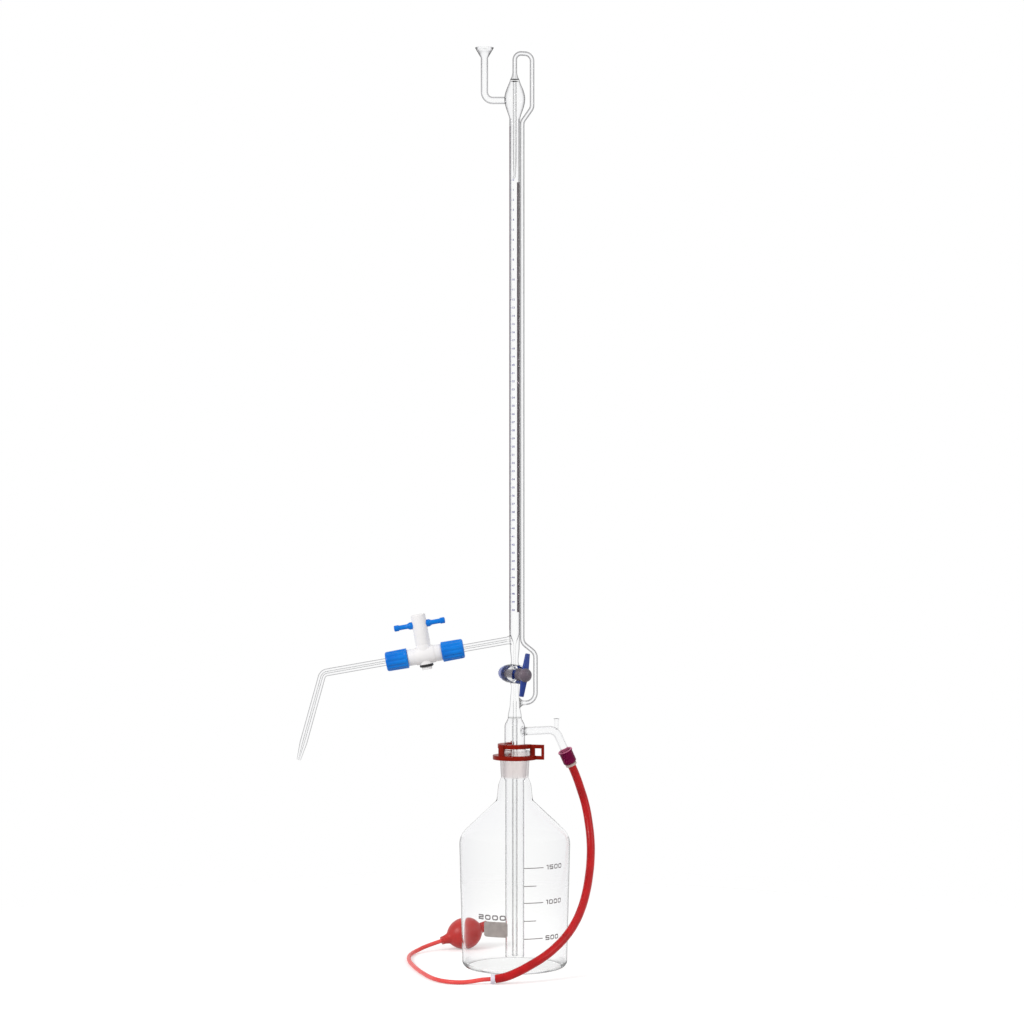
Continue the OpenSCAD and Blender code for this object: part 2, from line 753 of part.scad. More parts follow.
module joint_head() {
    cone_low_r = joint_low_r - joint_gap;
    cone_top_r = joint_top_r - joint_gap;
    stem_r = stem_d / 2;
    head_r = head_d / 2;
    seal_r = seal_d / 2;
    step_z = rim_z + cone_step_h;
    color(glass) difference() {
        rotate_extrude() polygon([
            [stem_r - stem_wall, floor_t + stem_lift],
            [stem_r, floor_t + stem_lift],
            [stem_r, joint_z - cone_step_h],
            [cone_low_r, joint_z],
            [cone_top_r, rim_z],
            [head_r, step_z],
            [head_r, head_top_z],
            [seal_r, seal_z],
            [dip_bore / 2, seal_z],
            [dip_bore / 2, seal_z - seal_t],
            [seal_r - head_wall, seal_z - seal_t],
            [head_r - head_wall, head_top_z],
            [head_r - head_wall, step_z],
            [cone_low_r - cone_wall, joint_z],
            [stem_r - stem_wall, joint_z - cone_step_h]
        ]);
        in_plane(port_yaw) rod([0, port_z, 0], [head_d, port_z, 0], port_d / 2 - port_wall);
    }
}

module dip_tube() {
    low_z = floor_t + dip_lift;
    color(glass) translate([0, 0, low_z]) tube(seal_z - seal_t - low_z, dip_d, dip_bore);
}

// Outer face of the waisted stems below and above the drain stopcock
module stem_shape() {
    low_z = drain_z - barrel_d / 2;
    high_z = drain_z + barrel_d / 2;
    rotate_extrude() polygon([
        [0, seal_z],
        [seal_d / 2, seal_z],
        [seal_d / 2 - stem_wall, seal_z + branch_lift / 3],
        [stem_waist_r + stem_wall, branch_z],
        [stem_waist_r, low_z - stem_flare_h],
        [stem_foot_r, low_z + stem_flare_h / 2],
        [stem_foot_r, high_z - stem_flare_h / 2],
        [stem_waist_r, high_z + stem_flare_h],
        [stem_foot_r, tube_z - arm_drop - arm_d],
        [tube_d / 2, tube_z],
        [0, tube_z]
    ]);
}

module drain_barrel() {
    bore_step_z = branch_z + fill_d / 2;
    color(glass) difference() {
        union() {
            stem_shape();
            on_drain() translate([0, 0, barrel_back]) cylinder(h = barrel_len, d = barrel_d);
            in_plane(fill_yaw) translate([0, branch_z, 0]) rotate([0, 90, 0])
                cylinder(h = branch_reach, r1 = stem_waist_r + stem_wall, r2 = fill_d / 2);
        }
        on_drain() translate([0, 0, barrel_back]) cylinder(h = barrel_len, d1 = key_back_d, d2 = key_d);
        translate([0, 0, seal_z - cut]) cylinder(h = tube_z - seal_z, d = drain_bore);
        translate([0, 0, seal_z - cut]) cylinder(h = bore_step_z - seal_z + cut, d = dip_bore);
        in_plane(fill_yaw) rod([0, branch_z, 0], [branch_reach + cut, branch_z, 0], fill_bore / 2);
        translate([0, 0, tube_z - 2 * arm_drop]) cylinder(h = 2 * arm_drop, d1 = drain_bore, d2 = lower_bore);
        on_arm() cylinder(h = tube_d, d = arm_bore);
    }
}

module burette_tube() {
    color(glass) translate([0, 0, tube_z]) difference() {
        cylinder(h = tube_len, d = tube_d);
        translate([0, 0, -cut]) cylinder(h = tube_len - upper_bore_len + cut, d = lower_bore);
        cylinder(h = tube_len + cut, d = upper_bore);
    }
}

module reading_stripe() {
    half_turn = stripe_w / tube_d * 180 / PI;
    color(navy) translate([0, 0, tube_z + stripe_lift])
        rotate([0, 0, stripe_yaw - half_turn]) rotate_extrude(angle = 2 * half_turn)
            translate([tube_d / 2, 0]) square([stripe_t, stripe_len]);
}

module bulb_shape(inset, low_r, top_r) {
    rotate_extrude() polygon(bulb_points(inset, low_r, top_r));
}

module overflow_bulb() {
    top_r = bulb_top_d / 2;
    color(glass) difference() {
        bulb_shape(0, tube_d / 2, top_r);
        difference() {
            bulb_shape(bulb_wall, upper_bore / 2, top_r - bulb_wall);
            translate([0, 0, bulb_top_z - seal_t]) cylinder(h = seal_t + cut, d = bulb_d);
        }
        translate([0, 0, bulb_top_z - seal_t - cut]) cylinder(h = seal_t + 2 * cut, d = nozzle_bore);
        vent_path(vent_d / 2 - vent_wall);
    }
}

// The nozzle hangs from the bulb's seal, narrows and turns aside at its tip
module nozzle_path(d, tip_d) {
    hang_z = bulb_top_z - seal_t;
    turn_z = bulb_top_z - nozzle_len + nozzle_bend + nozzle_tip_d;
    taper_z = turn_z + 4 * nozzle_d;
    translate([0, 0, taper_z]) cylinder(h = hang_z - taper_z, d = d);
    translate([0, 0, turn_z]) cylinder(h = taper_z - turn_z, d1 = tip_d, d2 = d);
    in_plane(180) elbow([nozzle_bend, turn_z, 0], nozzle_bend, 180, 180 + nozzle_turn, tip_d);
}

module zero_nozzle() {
    color(glass) difference() {
        nozzle_path(nozzle_d, nozzle_tip_d);
        nozzle_path(nozzle_bore, nozzle_tip_d - nozzle_tip_wall * 2);
    }
}

// Level run, bend and upright of the vent tube, with its funnel
module vent_path(r) {
    flare = funnel_d / 2 - vent_d / 2;
    in_plane(180) {
        rod([0, vent_z, 0], [vent_reach - vent_bend, vent_z, 0], r);
        elbow([vent_reach - vent_bend, vent_z + vent_bend, 0], vent_bend, -90, 0, 2 * r);
        rod([vent_reach, vent_z + vent_bend, 0], [vent_reach, vent_z + vent_rise - funnel_h, 0], r);
    }
    translate([-vent_reach, 0, vent_z + vent_rise - funnel_h]) cylinder(h = funnel_h, r1 = r, r2 = r + flare);
}

module vent_funnel() {
    color(glass) difference() {
        vent_path(vent_d / 2);
        vent_path(vent_d / 2 - vent_wall);
        bulb_shape(0, tube_d / 2, bulb_top_d / 2);
    }
}

// Up from the bulb, over, down beside the burette tube and round into the stem
module fill_tube() {
    top_z = bulb_top_z + fill_rise;
    low_z = fill_crank_top - fill_crank_h;
    leg_z = fill_low_top - fill_crank_h;
    hook_z = branch_z + fill_hook;
    color(glass) in_plane(fill_yaw) {
        drawn_pipe([0, top_z, 0], [0, bulb_top_z, 0], fill_d, fill_bore, fill_flare_h, bulb_top_d, nozzle_bore);
        bent_pipe([fill_bend, top_z, 0], fill_bend, 0, 180, fill_d, fill_bore);
        pipe([fill_top_reach, fill_crank_top, 0], [fill_top_reach, top_z, 0], fill_d, fill_bore);
        crank([fill_top_reach, fill_crank_top], [fill_reach, low_z], fill_d, fill_bore);
        pipe([fill_reach, fill_low_top, 0], [fill_reach, low_z, 0], fill_d, fill_bore);
        crank([fill_reach, fill_low_top], [fill_low_reach, leg_z], fill_d, fill_bore);
        pipe([fill_low_reach, hook_z, 0], [fill_low_reach, leg_z, 0], fill_d, fill_bore);
        bent_pipe([fill_low_reach - fill_hook, hook_z, 0], fill_hook, -90, 0, fill_d, fill_bore);
        pipe([branch_reach, branch_z, 0], [fill_low_reach - fill_hook, branch_z, 0], fill_d, fill_bore, false);
    }
}

module delivery_arm() {
    end_s = valve_reach - valve_stop;
    color(glass) difference() {
        on_arm() cylinder(h = end_s, d = arm_d);
        on_arm(-cut) cylinder(h = end_s + 2 * cut, d = arm_bore);
        stem_shape();
        translate([0, 0, tube_z]) cylinder(h = tube_d, d = tube_d);
    }
}

// Level run and bend of the pressure arm, with its finger vent, then its sloping threaded end
module pressure_arm() {
    bore = port_d - 2 * port_wall;
    bend_at = [port_run, port_z - port_bend, 0];
    vent_at = bend_at + port_bend * [sin(finger_turn), cos(finger_turn), 0];
    vent_h = port_z + finger_vent_h - vent_at.y;
    vent_r = finger_vent_d / 2;
    color(glass) {
        difference() {
            in_plane(port_yaw) pipe([0, port_z, 0], [port_run, port_z, 0], port_d, bore, false);
            translate([0, 0, port_z - port_d]) cylinder(h = 2 * port_d, d = head_d);
        }
        in_plane(port_yaw) difference() {
            union() {
                elbow(bend_at, port_bend, 90 - port_dip, 90, port_d - 2 * seam);
                along(vent_at, vent_at + [0, 1, 0]) rotate_extrude() polygon([
                    [0, 0],
                    [vent_r, 0],
                    [vent_r, vent_h - vent_r],
                    [finger_lip_d / 2, vent_h],
                    [0, vent_h]
                ]);
            }
            elbow(bend_at, port_bend, 90 - port_dip, 90, bore + 2 * seam);
            rod(vent_at, vent_at + [0, vent_h + cut, 0], vent_r - port_wall);
        }
        on_port() {
            rotate_extrude() polygon(pipe_points(port_thread_end, port_d, bore, true, false));
            translate([0, 0, port_thread_start])
                tube(port_thread_end - port_thread_start, port_thread_d, (port_d + bore) / 2);
        }
    }
}

// Drain stopcock

// The bar that passes through the key's head, tapering to both tips
module drain_bar() {
    half = drain_handle_len / 2;
    rotate([0, 0, -drain_handle_lean]) translate([0, 0, drain_handle_s - drain_handle_t / 2])
        linear_extrude(drain_handle_t) polygon([
            [-drain_tip_w / 2, -half],
            [drain_tip_w / 2, -half],
            [drain_handle_w / 2, -key_head_d / 2],
            [drain_handle_w / 2, key_head_d / 2],
            [drain_tip_w / 2, half],
            [-drain_tip_w / 2, half],
            [-drain_handle_w / 2, key_head_d / 2],
            [-drain_handle_w / 2, -key_head_d / 2]
        ]);
}

module drain_key() {
    head_r = key_head_d / 2;
    shrink = 2 * key_gap;
    color(frosted) on_drain() difference() {
        rotate_extrude() polygon(concat(
            [
                [0, drain_tail_s],
                [key_tail_d / 2, drain_tail_s],
                [key_tail_d / 2, barrel_back + step_back],
                [(key_back_d - shrink + step_back / key_taper) / 2, barrel_back + step_back],
                [(key_d - shrink) / 2, barrel_front],
                [(key_d - shrink) / 2, key_neck_s],
                [key_neck_d / 2, key_neck_s + key_neck_fall],
                [key_neck_d / 2, key_head_s]
            ],
            arc_points([head_r - key_round, key_head_s + key_round], key_round, -90, 0, 5),
            arc_points([head_r - key_round, key_top_s - key_round], key_round, 0, 90, 5),
            [[0, key_top_s]]
        ));
        drain_bar();
        rotate([0, 0, -drain_handle_lean]) rotate([90, 0, 0])
            translate([0, 0, -key_d]) cylinder(h = 2 * key_d, d = drain_bore);
    }
}

module drain_handle() {
    color(navy) on_drain() drain_bar();
}

module drain_washer() {
    color(ptfe) on_drain() translate([0, 0, drain_ring_s])
        tube(drain_washer_t, drain_flange_d, key_tail_d + 2 * grip_gap);
}

// An O-ring, pressed flat where it seals
module oring(d, t) {
    rotate_extrude() intersection() {
        translate([d / 2 - t / 2, t / 2]) circle(d = oring_swell * t);
        square([d, t]);
    }
}

module drain_oring() {
    color(black) on_drain() translate([0, 0, drain_nut_s]) oring(drain_nut_d, drain_ring_t);
}

module drain_nut() {
    color(blue) on_drain() difference() {
        translate([0, 0, drain_nut_s - drain_nut_len]) union() {
            cylinder(h = drain_nut_len, d = drain_nut_d);
            translate([0, 0, drain_nut_len - nut_flange_t]) cylinder(h = nut_flange_t, d = drain_flange_d);
        }
        translate([0, 0, drain_tail_s - grip_gap]) cylinder(h = drain_nut_len, d = key_tail_d + 2 * grip_gap);
        for (i = [0 : nut_ribs - 1]) rotate([0, 0, 360 * i / nut_ribs])
            translate([drain_nut_d / 2 + rib_groove_out, 0, drain_nut_s - drain_nut_len - cut])
                cylinder(h = drain_nut_len - nut_flange_t - rib_groove_end + cut, r = rib_groove_r);
    }
}

// Delivery valve

module along_arm(half, d) {
    rotate([0, 90, 0]) translate([0, 0, -half]) cylinder(h = 2 * half, d = d);
}

module valve_body() {
    color(ptfe) on_valve() difference() {
        union() {
            along_arm(valve_mid, valve_d);
            along_arm(valve_half - step_back, valve_end_d);
            along_arm(thread_end_s, valve_thread_d);
            cylinder(h = valve_top, d = plug_stem_d);
            translate([0, 0, valve_ring_z + plug_gap]) cylinder(h = valve_top, d = valve_ring_d);
        }
        translate([0, 0, -valve_d]) cylinder(h = 2 * valve_d, d = plug_d);
        along_arm(thread_end_s + cut, arm_bore);
        for (side = [-1, 1]) rotate([0, side * 90, 0])
            translate([0, 0, valve_stop]) cylinder(h = thread_end_s, d = arm_d + 2 * grip_gap);
    }
}

module valve_plug() {
    stem_r = plug_stem_d / 2;
    shaft_r = plug_d / 2 - plug_gap;
    tail_z = valve_nut_z - valve_nut_t + step_back;
    color(ptfe) on_valve() difference() {
        rotate_extrude() polygon(concat(
            [
                [0, tail_z],
                [plug_tail_d / 2, tail_z],
                [plug_tail_d / 2, valve_ring_z + step_back],
                [shaft_r, valve_ring_z + step_back],
                [shaft_r, valve_top + plug_gap],
                [stem_r, valve_top + plug_gap]
            ],
            arc_points([stem_r - plug_round, plug_top - plug_round], plug_round, 0, 90, 5),
            [[0, plug_top]]
        ));
        along_arm(plug_d, arm_bore);
        translate([0, 0, bar_lift]) along_arm(plug_stem_d, bar_peg_d);
    }
}

// Two moulded arms on one rod, which passes through the plug's stem
module valve_handle() {
    stem_r = plug_stem_d / 2;
    half = bar_len / 2;
    knob_s = half - bar_knob_len;
    color(blue) on_valve() translate([0, 0, bar_lift]) {
        for (side = [-1, 1]) rotate([0, side * 90, 0]) difference() {
            rotate_extrude() polygon(concat(
                [
                    [0, stem_r - bar_root_len],
                    [bar_root_d / 2, stem_r - bar_root_len],
                    [bar_root_d / 2, stem_r + bar_root_len],
                    [bar_d / 2, stem_r + 2 * bar_root_len],
                    [bar_d / 2, knob_s - bar_knob_step],
                    [bar_knob_d / 2, knob_s]
                ],
                arc_points([bar_knob_d / 2 - bar_round, half - bar_round], bar_round, 0, 90, 4),
                [[0, half]]
            ));
            rotate([0, 90, 0]) translate([0, 0, -bar_root_d]) cylinder(h = 2 * bar_root_d, d = plug_stem_d);
        }
        along_arm(stem_r + bar_root_len, bar_peg_d);
    }
}

module valve_oring() {
    color(black) on_valve() translate([0, 0, valve_nut_z]) oring(valve_ring_d, valve_ring_t);
}

module valve_nut() {
    color(ptfe) on_valve() translate([0, 0, valve_nut_z - valve_nut_t]) difference() {
        cylinder(h = valve_nut_t, d = valve_nut_d);
        translate([0, 0, step_back - grip_gap]) cylinder(h = valve_nut_t, d = plug_tail_d + 2 * grip_gap);
    }
}

// A seal on the arm or the jet, between a threaded end and its cap's end wall
module valve_seal() {
    translate([0, 0, thread_end_s]) tube(cap_seal_t, valve_thread_d, arm_d + 2 * grip_gap);
}

module valve_cap() {
    outer_r = cap_d / 2;
    end_r = outer_r - cap_draft;
    difference() {
        rotate_extrude() polygon(concat(
            [[0, valve_half], [outer_r, valve_half]],
            arc_points([end_r - cap_round, cap_end_s - cap_round], cap_round, 0, 90, 6),
            [[0, cap_end_s]]
        ));
        translate([0, 0, valve_half - cut])
            cylinder(h = cap_wall_s - valve_half + cut, d = valve_thread_d + 2 * thread_gap);
        translate([0, 0, cap_wall_s - cut]) cylinder(h = cap_end_t + 2 * cut, d = arm_d + 2 * thread_gap);
        for (i = [0 : cap_flutes - 1]) rotate([0, 0, 360 * i / cap_flutes])
            translate([outer_r + flute_out, 0, valve_half + flute_start]) cylinder(h = cap_len, r = flute_r);
    }
}

// Turns a piece of the outlet round to the inlet side of the valve
module on_inlet() {
    on_arm(valve_reach) rotate([180, 0, 0]) children();
}

module inlet_seal() {
    color(black) on_inlet() valve_seal();
}

module inlet_cap() {
    color(blue) on_inlet() valve_cap();
}

module outlet_seal() {
    color(black) on_arm(valve_reach) valve_seal();
}

module outlet_cap() {
    color(blue) on_arm(valve_reach) valve_cap();
}

// The jet leaves the valve, turns down at its corner and is drawn out to a fine tip
module delivery_jet() {
    along = [cos(arm_tilt), -sin(arm_tilt), 0];
    down = [sin(jet_lean), -cos(jet_lean), 0];
    inwards = [-sin(arm_tilt), -cos(arm_tilt), 0];
    axis = [0, arm_z, 0];
    corner = axis + (valve_reach + jet_run) * along;
    set_back = jet_bend * tan((90 - arm_tilt - jet_lean) / 2);
    bend_start = corner - set_back * along;
    bend_end = corner + set_back * down;
    color(glass) in_plane(180) {
        pipe(axis + (valve_reach + valve_stop) * along, bend_start, arm_d, arm_bore, false);
        bent_pipe(bend_start + jet_bend * inwards, jet_bend, jet_lean, 90 - arm_tilt, arm_d, arm_bore);
        drawn_pipe(bend_end, corner + jet_len * down, arm_d, arm_bore, jet_tip_len, jet_tip_d, jet_tip_bore);
    }
}

// Pressure port, hose and squeeze bulb

module pressure_seal() {
    color(black) on_port(port_thread_end) tube(port_seal_t, port_thread_d, hose_nozzle_d + 2 * grip_gap);
}

module pressure_cap() {
    rim_r = port_cap_d / 2;
    color(plum) on_port(port_neck) difference() {
        rotate_extrude() polygon([
            [0, 0],
            [rim_r, 0],
            [rim_r, port_rim_t],
            [rim_r - port_rim_step, port_rim_t],
            [rim_r - port_rim_step, port_cap_len - port_rim_step],
            [rim_r - 2 * port_rim_step, port_cap_len],
            [0, port_cap_len]
        ]);
        translate([0, 0, -cut])
            cylinder(h = port_cap_len - port_cap_end_t + cut, d = port_thread_d + 2 * thread_gap);
        cylinder(h = port_cap_len + cut, d = hose_nozzle_d + 2 * thread_gap);
    }
}

module hose_nozzle() {
    inside_s = port_thread_end - barb_len / 2;
    color(beige) on_port() difference() {
        union() {
            translate([0, 0, inside_s]) cylinder(h = hose_s + barb_len - inside_s, d = hose_nozzle_d);
            translate([0, 0, collar_s]) cylinder(h = collar_t, d = collar_d);
        }
        translate([0, 0, inside_s - cut]) cylinder(h = hose_s + barb_len - inside_s + 2 * cut, d = hose_nozzle_bore);
    }
}

module pressure_hose() {
    color(rubber) sweep(hose_points, hose_d, hose_sides);
}

module hose_joiner() {
    color(ptfe) translate(joiner_at) rotate([0, -90, 0]) {
        cylinder(h = joiner_len, d = joiner_d);
        translate([0, 0, -barb_len]) cylinder(h = barb_len, d = hose_nozzle_d);
        cylinder(h = joiner_len + barb_len, d = thin_d / 2);
    }
}

module bulb_tube() {
    color(rubber) sweep(thin_points, thin_d, hose_sides);
}

// Half section of the squeeze bulb, an oval between its neck and its inlet end
function squeeze_points(inset, neck_r, inlet_r) =
    let (
        long_r = squeeze_len / 2 - inset,
        wide_r = squeeze_d / 2 - inset,
        from = 180 - asin(neck_r / wide_r),
        to = asin(inlet_r / wide_r),
        steps = 24
    ) concat(
        [[0, -squeeze_half], [neck_r, -squeeze_half]],
        [for (i = [0 : steps])
            let (a = from + (to - from) * i / steps) [wide_r * sin(a), long_r * cos(a)]],
        [[inlet_r, squeeze_half], [0, squeeze_half]]
    );

module squeeze_bulb() {
    color(rubber) on_squeeze() rotate_extrude() difference() {
        polygon(squeeze_points(0, squeeze_neck_d / 2, squeeze_inlet_d / 2));
        polygon(squeeze_points(squeeze_wall, thin_d / 2, insert_d / 2));
    }
}

module inlet_valve() {
    room = ball_d + ball_travel + 2 * grip_gap;
    hole_d = ball_d / 2;
    color(beige) on_squeeze(insert_s) difference() {
        cylinder(h = squeeze_half - insert_s, d = insert_d);
        translate([0, 0, -cut]) cylinder(h = squeeze_half, d = hole_d);
        translate([0, 0, insert_lip]) cylinder(h = room, d = ball_d + 2 * grip_gap);
    }
}

module inlet_ball() {
    color(black) on_squeeze(insert_s + insert_lip + ball_d / 2 + grip_gap) sphere(d = ball_d);
}

reservoir_bottle();
joint_clip();
joint_head();
dip_tube();
drain_barrel();
burette_tube();
reading_stripe();
overflow_bulb();
zero_nozzle();
vent_funnel();
fill_tube();
delivery_arm();
pressure_arm();
drain_key();
drain_handle();
drain_washer();
drain_oring();
drain_nut();
valve_body();
valve_plug();
valve_handle();
valve_oring();
valve_nut();
inlet_seal();
inlet_cap();
outlet_seal();
outlet_cap();
delivery_jet();
pressure_seal();
pressure_cap();
hose_nozzle();
pressure_hose();
hose_joiner();
bulb_tube();
squeeze_bulb();
inlet_valve();
inlet_ball();
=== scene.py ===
import math
import bpy
from mathutils import Matrix, Vector


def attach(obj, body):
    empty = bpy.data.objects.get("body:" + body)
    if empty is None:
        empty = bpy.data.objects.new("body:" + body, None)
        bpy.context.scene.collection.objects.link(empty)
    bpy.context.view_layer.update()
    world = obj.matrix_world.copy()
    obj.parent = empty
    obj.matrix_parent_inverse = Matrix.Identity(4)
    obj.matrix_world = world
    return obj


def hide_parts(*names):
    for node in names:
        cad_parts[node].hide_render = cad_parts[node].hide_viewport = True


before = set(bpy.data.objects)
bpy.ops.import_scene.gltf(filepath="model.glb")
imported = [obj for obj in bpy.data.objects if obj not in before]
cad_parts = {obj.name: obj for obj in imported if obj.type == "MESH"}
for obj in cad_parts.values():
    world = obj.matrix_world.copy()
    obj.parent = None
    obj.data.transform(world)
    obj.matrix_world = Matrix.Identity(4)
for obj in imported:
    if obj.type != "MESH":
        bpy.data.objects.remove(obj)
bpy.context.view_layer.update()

# Camera and room
# The photograph looks level at the burette from about three metres, against plain white.
# A pale floor carries the bottle, and large soft lamps light it from both sides and above.
MM = 0.001
EYE, LENS, SENSOR = (-0.0033, -3.1, 0.5454), 90.8, 36
LAMPS_AIM = Vector((0, 0, 0.5))
WALL_LIGHT, FLOOR_GLOW = 0.45, 0.42
FLOOR_R, FLOOR_Z, FADE_START, FADE_END = 0.9, -0.0004, 0.35, 0.85
scene = bpy.context.scene
scene.view_settings.view_transform = "Standard"
scene.cycles.max_bounces = 32
scene.cycles.transmission_bounces = 28
scene.cycles.transparent_max_bounces = 28
scene.cycles.caustics_reflective = False
scene.cycles.caustics_refractive = False
bpy.ops.object.select_all(action="DESELECT")
bpy.ops.object.camera_add(location=EYE, rotation=(math.radians(90), 0, 0))
camera = bpy.context.object
camera.data.sensor_width = SENSOR
camera.data.lens = LENS
scene.camera = camera


def feed(tree, socket, value):
    """Sets a node's input to a value, or links it to another node's output."""
    if isinstance(value, bpy.types.NodeSocket):
        tree.links.new(value, socket)
    else:
        socket.default_value = value


def fed(tree, node, **inputs):
    """A node with its named inputs set or linked."""
    for name, value in inputs.items():
        feed(tree, node.inputs[name.replace("_", " ")], value)
    return node


def placed(tree, kind, **inputs):
    """A new shader node of a kind, with its named inputs set or linked."""
    return fed(tree, tree.nodes.new("ShaderNode" + kind), **inputs)


def maths(tree, operation, *values):
    """The output of a math node, for numbers or other nodes' outputs."""
    node = placed(tree, "Math")
    node.operation = operation
    for socket, value in zip(node.inputs, values):
        feed(tree, socket, value)
    return node.outputs[0]


def seen_rays(tree):
    """One where a ray comes from the camera, a reflection or through glass."""
    rays = placed(tree, "LightPath").outputs
    either = maths(tree, "MAXIMUM", rays["Is Camera Ray"], rays["Is Glossy Ray"])
    return maths(tree, "MAXIMUM", either, rays["Is Transmission Ray"])


def shown(tree, share, first, second, output):
    """Shows one shader or another by a share, at the tree's output."""
    mix = placed(tree, "MixShader", Fac=share)
    tree.links.new(first.outputs[0], mix.inputs[1])
    tree.links.new(second.outputs[0], mix.inputs[2])
    tree.links.new(mix.outputs[0], tree.nodes[output].inputs["Surface"])


def new_finish(name):
    """A new material, with its node tree and its shader."""
    finish = bpy.data.materials.new(name)
    finish.use_nodes = True
    return finish, finish.node_tree, finish.node_tree.nodes["Principled BSDF"]


room = bpy.data.worlds.new("white_room")
room.use_nodes = True
scene.world = room
walls = room.node_tree
wall_seen = fed(walls, walls.nodes["Background"], Color=(1, 1, 1, 1))
wall_light = placed(walls, "Background", Color=(1, 0.99, 0.98, 1), Strength=WALL_LIGHT)
shown(walls, seen_rays(walls), wall_light, wall_seen, "World Output")

for name, place, size, power in (
    ("left_lamp", (-1.5, -1.3, 1.3), 0.8, 28),
    ("right_lamp", (1.7, -0.9, 1.2), 1.2, 15),
    ("top_lamp", (0.1, 0.3, 2.4), 1.5, 3),
):
    aim = (LAMPS_AIM - Vector(place)).to_track_quat("-Z", "Y").to_euler()
    bpy.ops.object.light_add(type="AREA", location=place, rotation=aim)
    lamp = bpy.context.object
    lamp.name = name
    lamp.data.size = size
    lamp.data.energy = power

bpy.ops.object.select_all(action="DESELECT")
bpy.ops.mesh.primitive_circle_add(vertices=96, radius=FLOOR_R, fill_type="NGON", location=(0, 0, FLOOR_Z))
floor = bpy.context.object
floor.name = "floor"
bpy.ops.object.transform_apply(location=True)
floor_paint, floor_tree, floor_shader = new_finish("floor_paint")
floor_place = placed(floor_tree, "TexCoord")
floor_reach = placed(floor_tree, "VectorMath", Vector=floor_place.outputs["Object"])
floor_reach.operation = "LENGTH"
floor_fade = placed(floor_tree, "MapRange", Value=floor_reach.outputs["Value"], From_Min=FADE_START,
                    From_Max=FADE_END, To_Min=1, To_Max=0)
floor_glow = maths(floor_tree, "MULTIPLY", seen_rays(floor_tree), FLOOR_GLOW)
fed(floor_tree, floor_shader, Base_Color=(0.8, 0.8, 0.8, 1), Roughness=0.9, Specular_IOR_Level=0.1,
    Emission_Color=(1, 1, 1, 1), Emission_Strength=floor_glow, Alpha=floor_fade.outputs["Result"])
floor.data.materials.append(floor_paint)

# Pressure hose and thin tube
# The squeeze bulb's air comes through a thin rubber tube, which lies on the bench round the bottle's
# left, and a thick red hose that hangs from the port, sweeps round the bottle and comes to rest in front.
HOSE_WIDE, TUBE_WIDE = 10, 5
hose_route = [
    (69, 39.8, 237.8), (74, 43, 226), (80, 45, 209), (86, 44.5, 189), (90, 40, 167), (92, 31, 146),
    (91.5, 17, 126), (89, 0, 108), (85, -18, 91), (79, -37, 75), (71, -55, 61), (61, -71, 49),
    (49, -85, 38.5), (35, -97, 29), (19, -106, 20.5), (3, -112, 13), (-11, -115, 8), (-23, -115.5, 5.7),
]
thin_route = [
    (-28, -115.5, 5.7), (-38, -116, 5), (-50, -118, 3.4), (-61, -119, 2.6), (-72, -117.5, 2.6),
    (-82, -111.5, 2.6), (-91, -101, 2.6), (-99, -85, 2.6), (-107, -63, 2.6), (-114.5, -38, 2.6),
    (-121.5, -9, 2.6), (-127, 21, 2.6), (-129, 50, 2.6), (-126.5, 75, 2.6), (-120, 93, 3.6),
    (-110.5, 105, 6.2), (-100, 111, 9.2), (-90.7, 114.6, 11.8), (-85.3, 116.9, 13.2),
]


def linked(name, data):
    """A new object of the given data, put in the scene and the only one selected."""
    bpy.ops.object.select_all(action="DESELECT")
    piece = bpy.data.objects.new(name, data)
    bpy.context.collection.objects.link(piece)
    bpy.context.view_layer.objects.active = piece
    piece.select_set(True)
    return piece


def laid_tube(name, route, width):
    """A round rubber tube along a smooth line through its route's points, in millimetres."""
    line = bpy.data.curves.new(name, "CURVE")
    line.dimensions = "3D"
    line.bevel_depth = width / 2 * MM
    line.bevel_resolution = 7
    line.resolution_u = 10
    line.use_fill_caps = True
    spline = line.splines.new("BEZIER")
    spline.bezier_points.add(len(route) - 1)
    for knot, place in zip(spline.bezier_points, route):
        knot.co = Vector(place) * MM
        knot.handle_left_type = "AUTO"
        knot.handle_right_type = "AUTO"
    return linked(name, line)


def paint(red, green, blue):
    """A colour from its screen values, 0 to 255."""
    shares = [value / 255 for value in (red, green, blue)]
    return [s / 12.92 if s <= 0.04045 else ((s + 0.055) / 1.055) ** 2.4 for s in shares] + [1]


def moulding_group():
    """Slow mottle and fine grain of a moulded or extruded surface, both from 0 to 1."""
    group = bpy.data.node_groups.new("moulding", "ShaderNodeTree")
    for socket in ("Mottle Scale", "Grain Scale"):
        group.interface.new_socket(socket, in_out="INPUT", socket_type="NodeSocketFloat")
    for socket in ("Mottle", "Grain"):
        group.interface.new_socket(socket, in_out="OUTPUT", socket_type="NodeSocketFloat")
    given = group.nodes.new("NodeGroupInput")
    result = group.nodes.new("NodeGroupOutput")
    place = placed(group, "TexCoord").outputs["Object"]
    for part, detail in (("Mottle", 3), ("Grain", 5)):
        scale = given.outputs[part + " Scale"]
        noise = placed(group, "TexNoise", Vector=place, Scale=scale, Detail=detail)
        spread = placed(group, "MapRange", Value=noise.outputs["Fac"], From_Min=0.3, From_Max=0.7)
        group.links.new(spread.outputs["Result"], result.inputs[part])
    return group


moulding = moulding_group()


def blended(tree, share, first, second, way="MIX"):
    """The output of a mix of two colours by a share."""
    mix = placed(tree, "Mix")
    mix.data_type = "RGBA"
    mix.blend_type = way
    return fed(tree, mix, Factor=share, A=first, B=second).outputs["Result"]


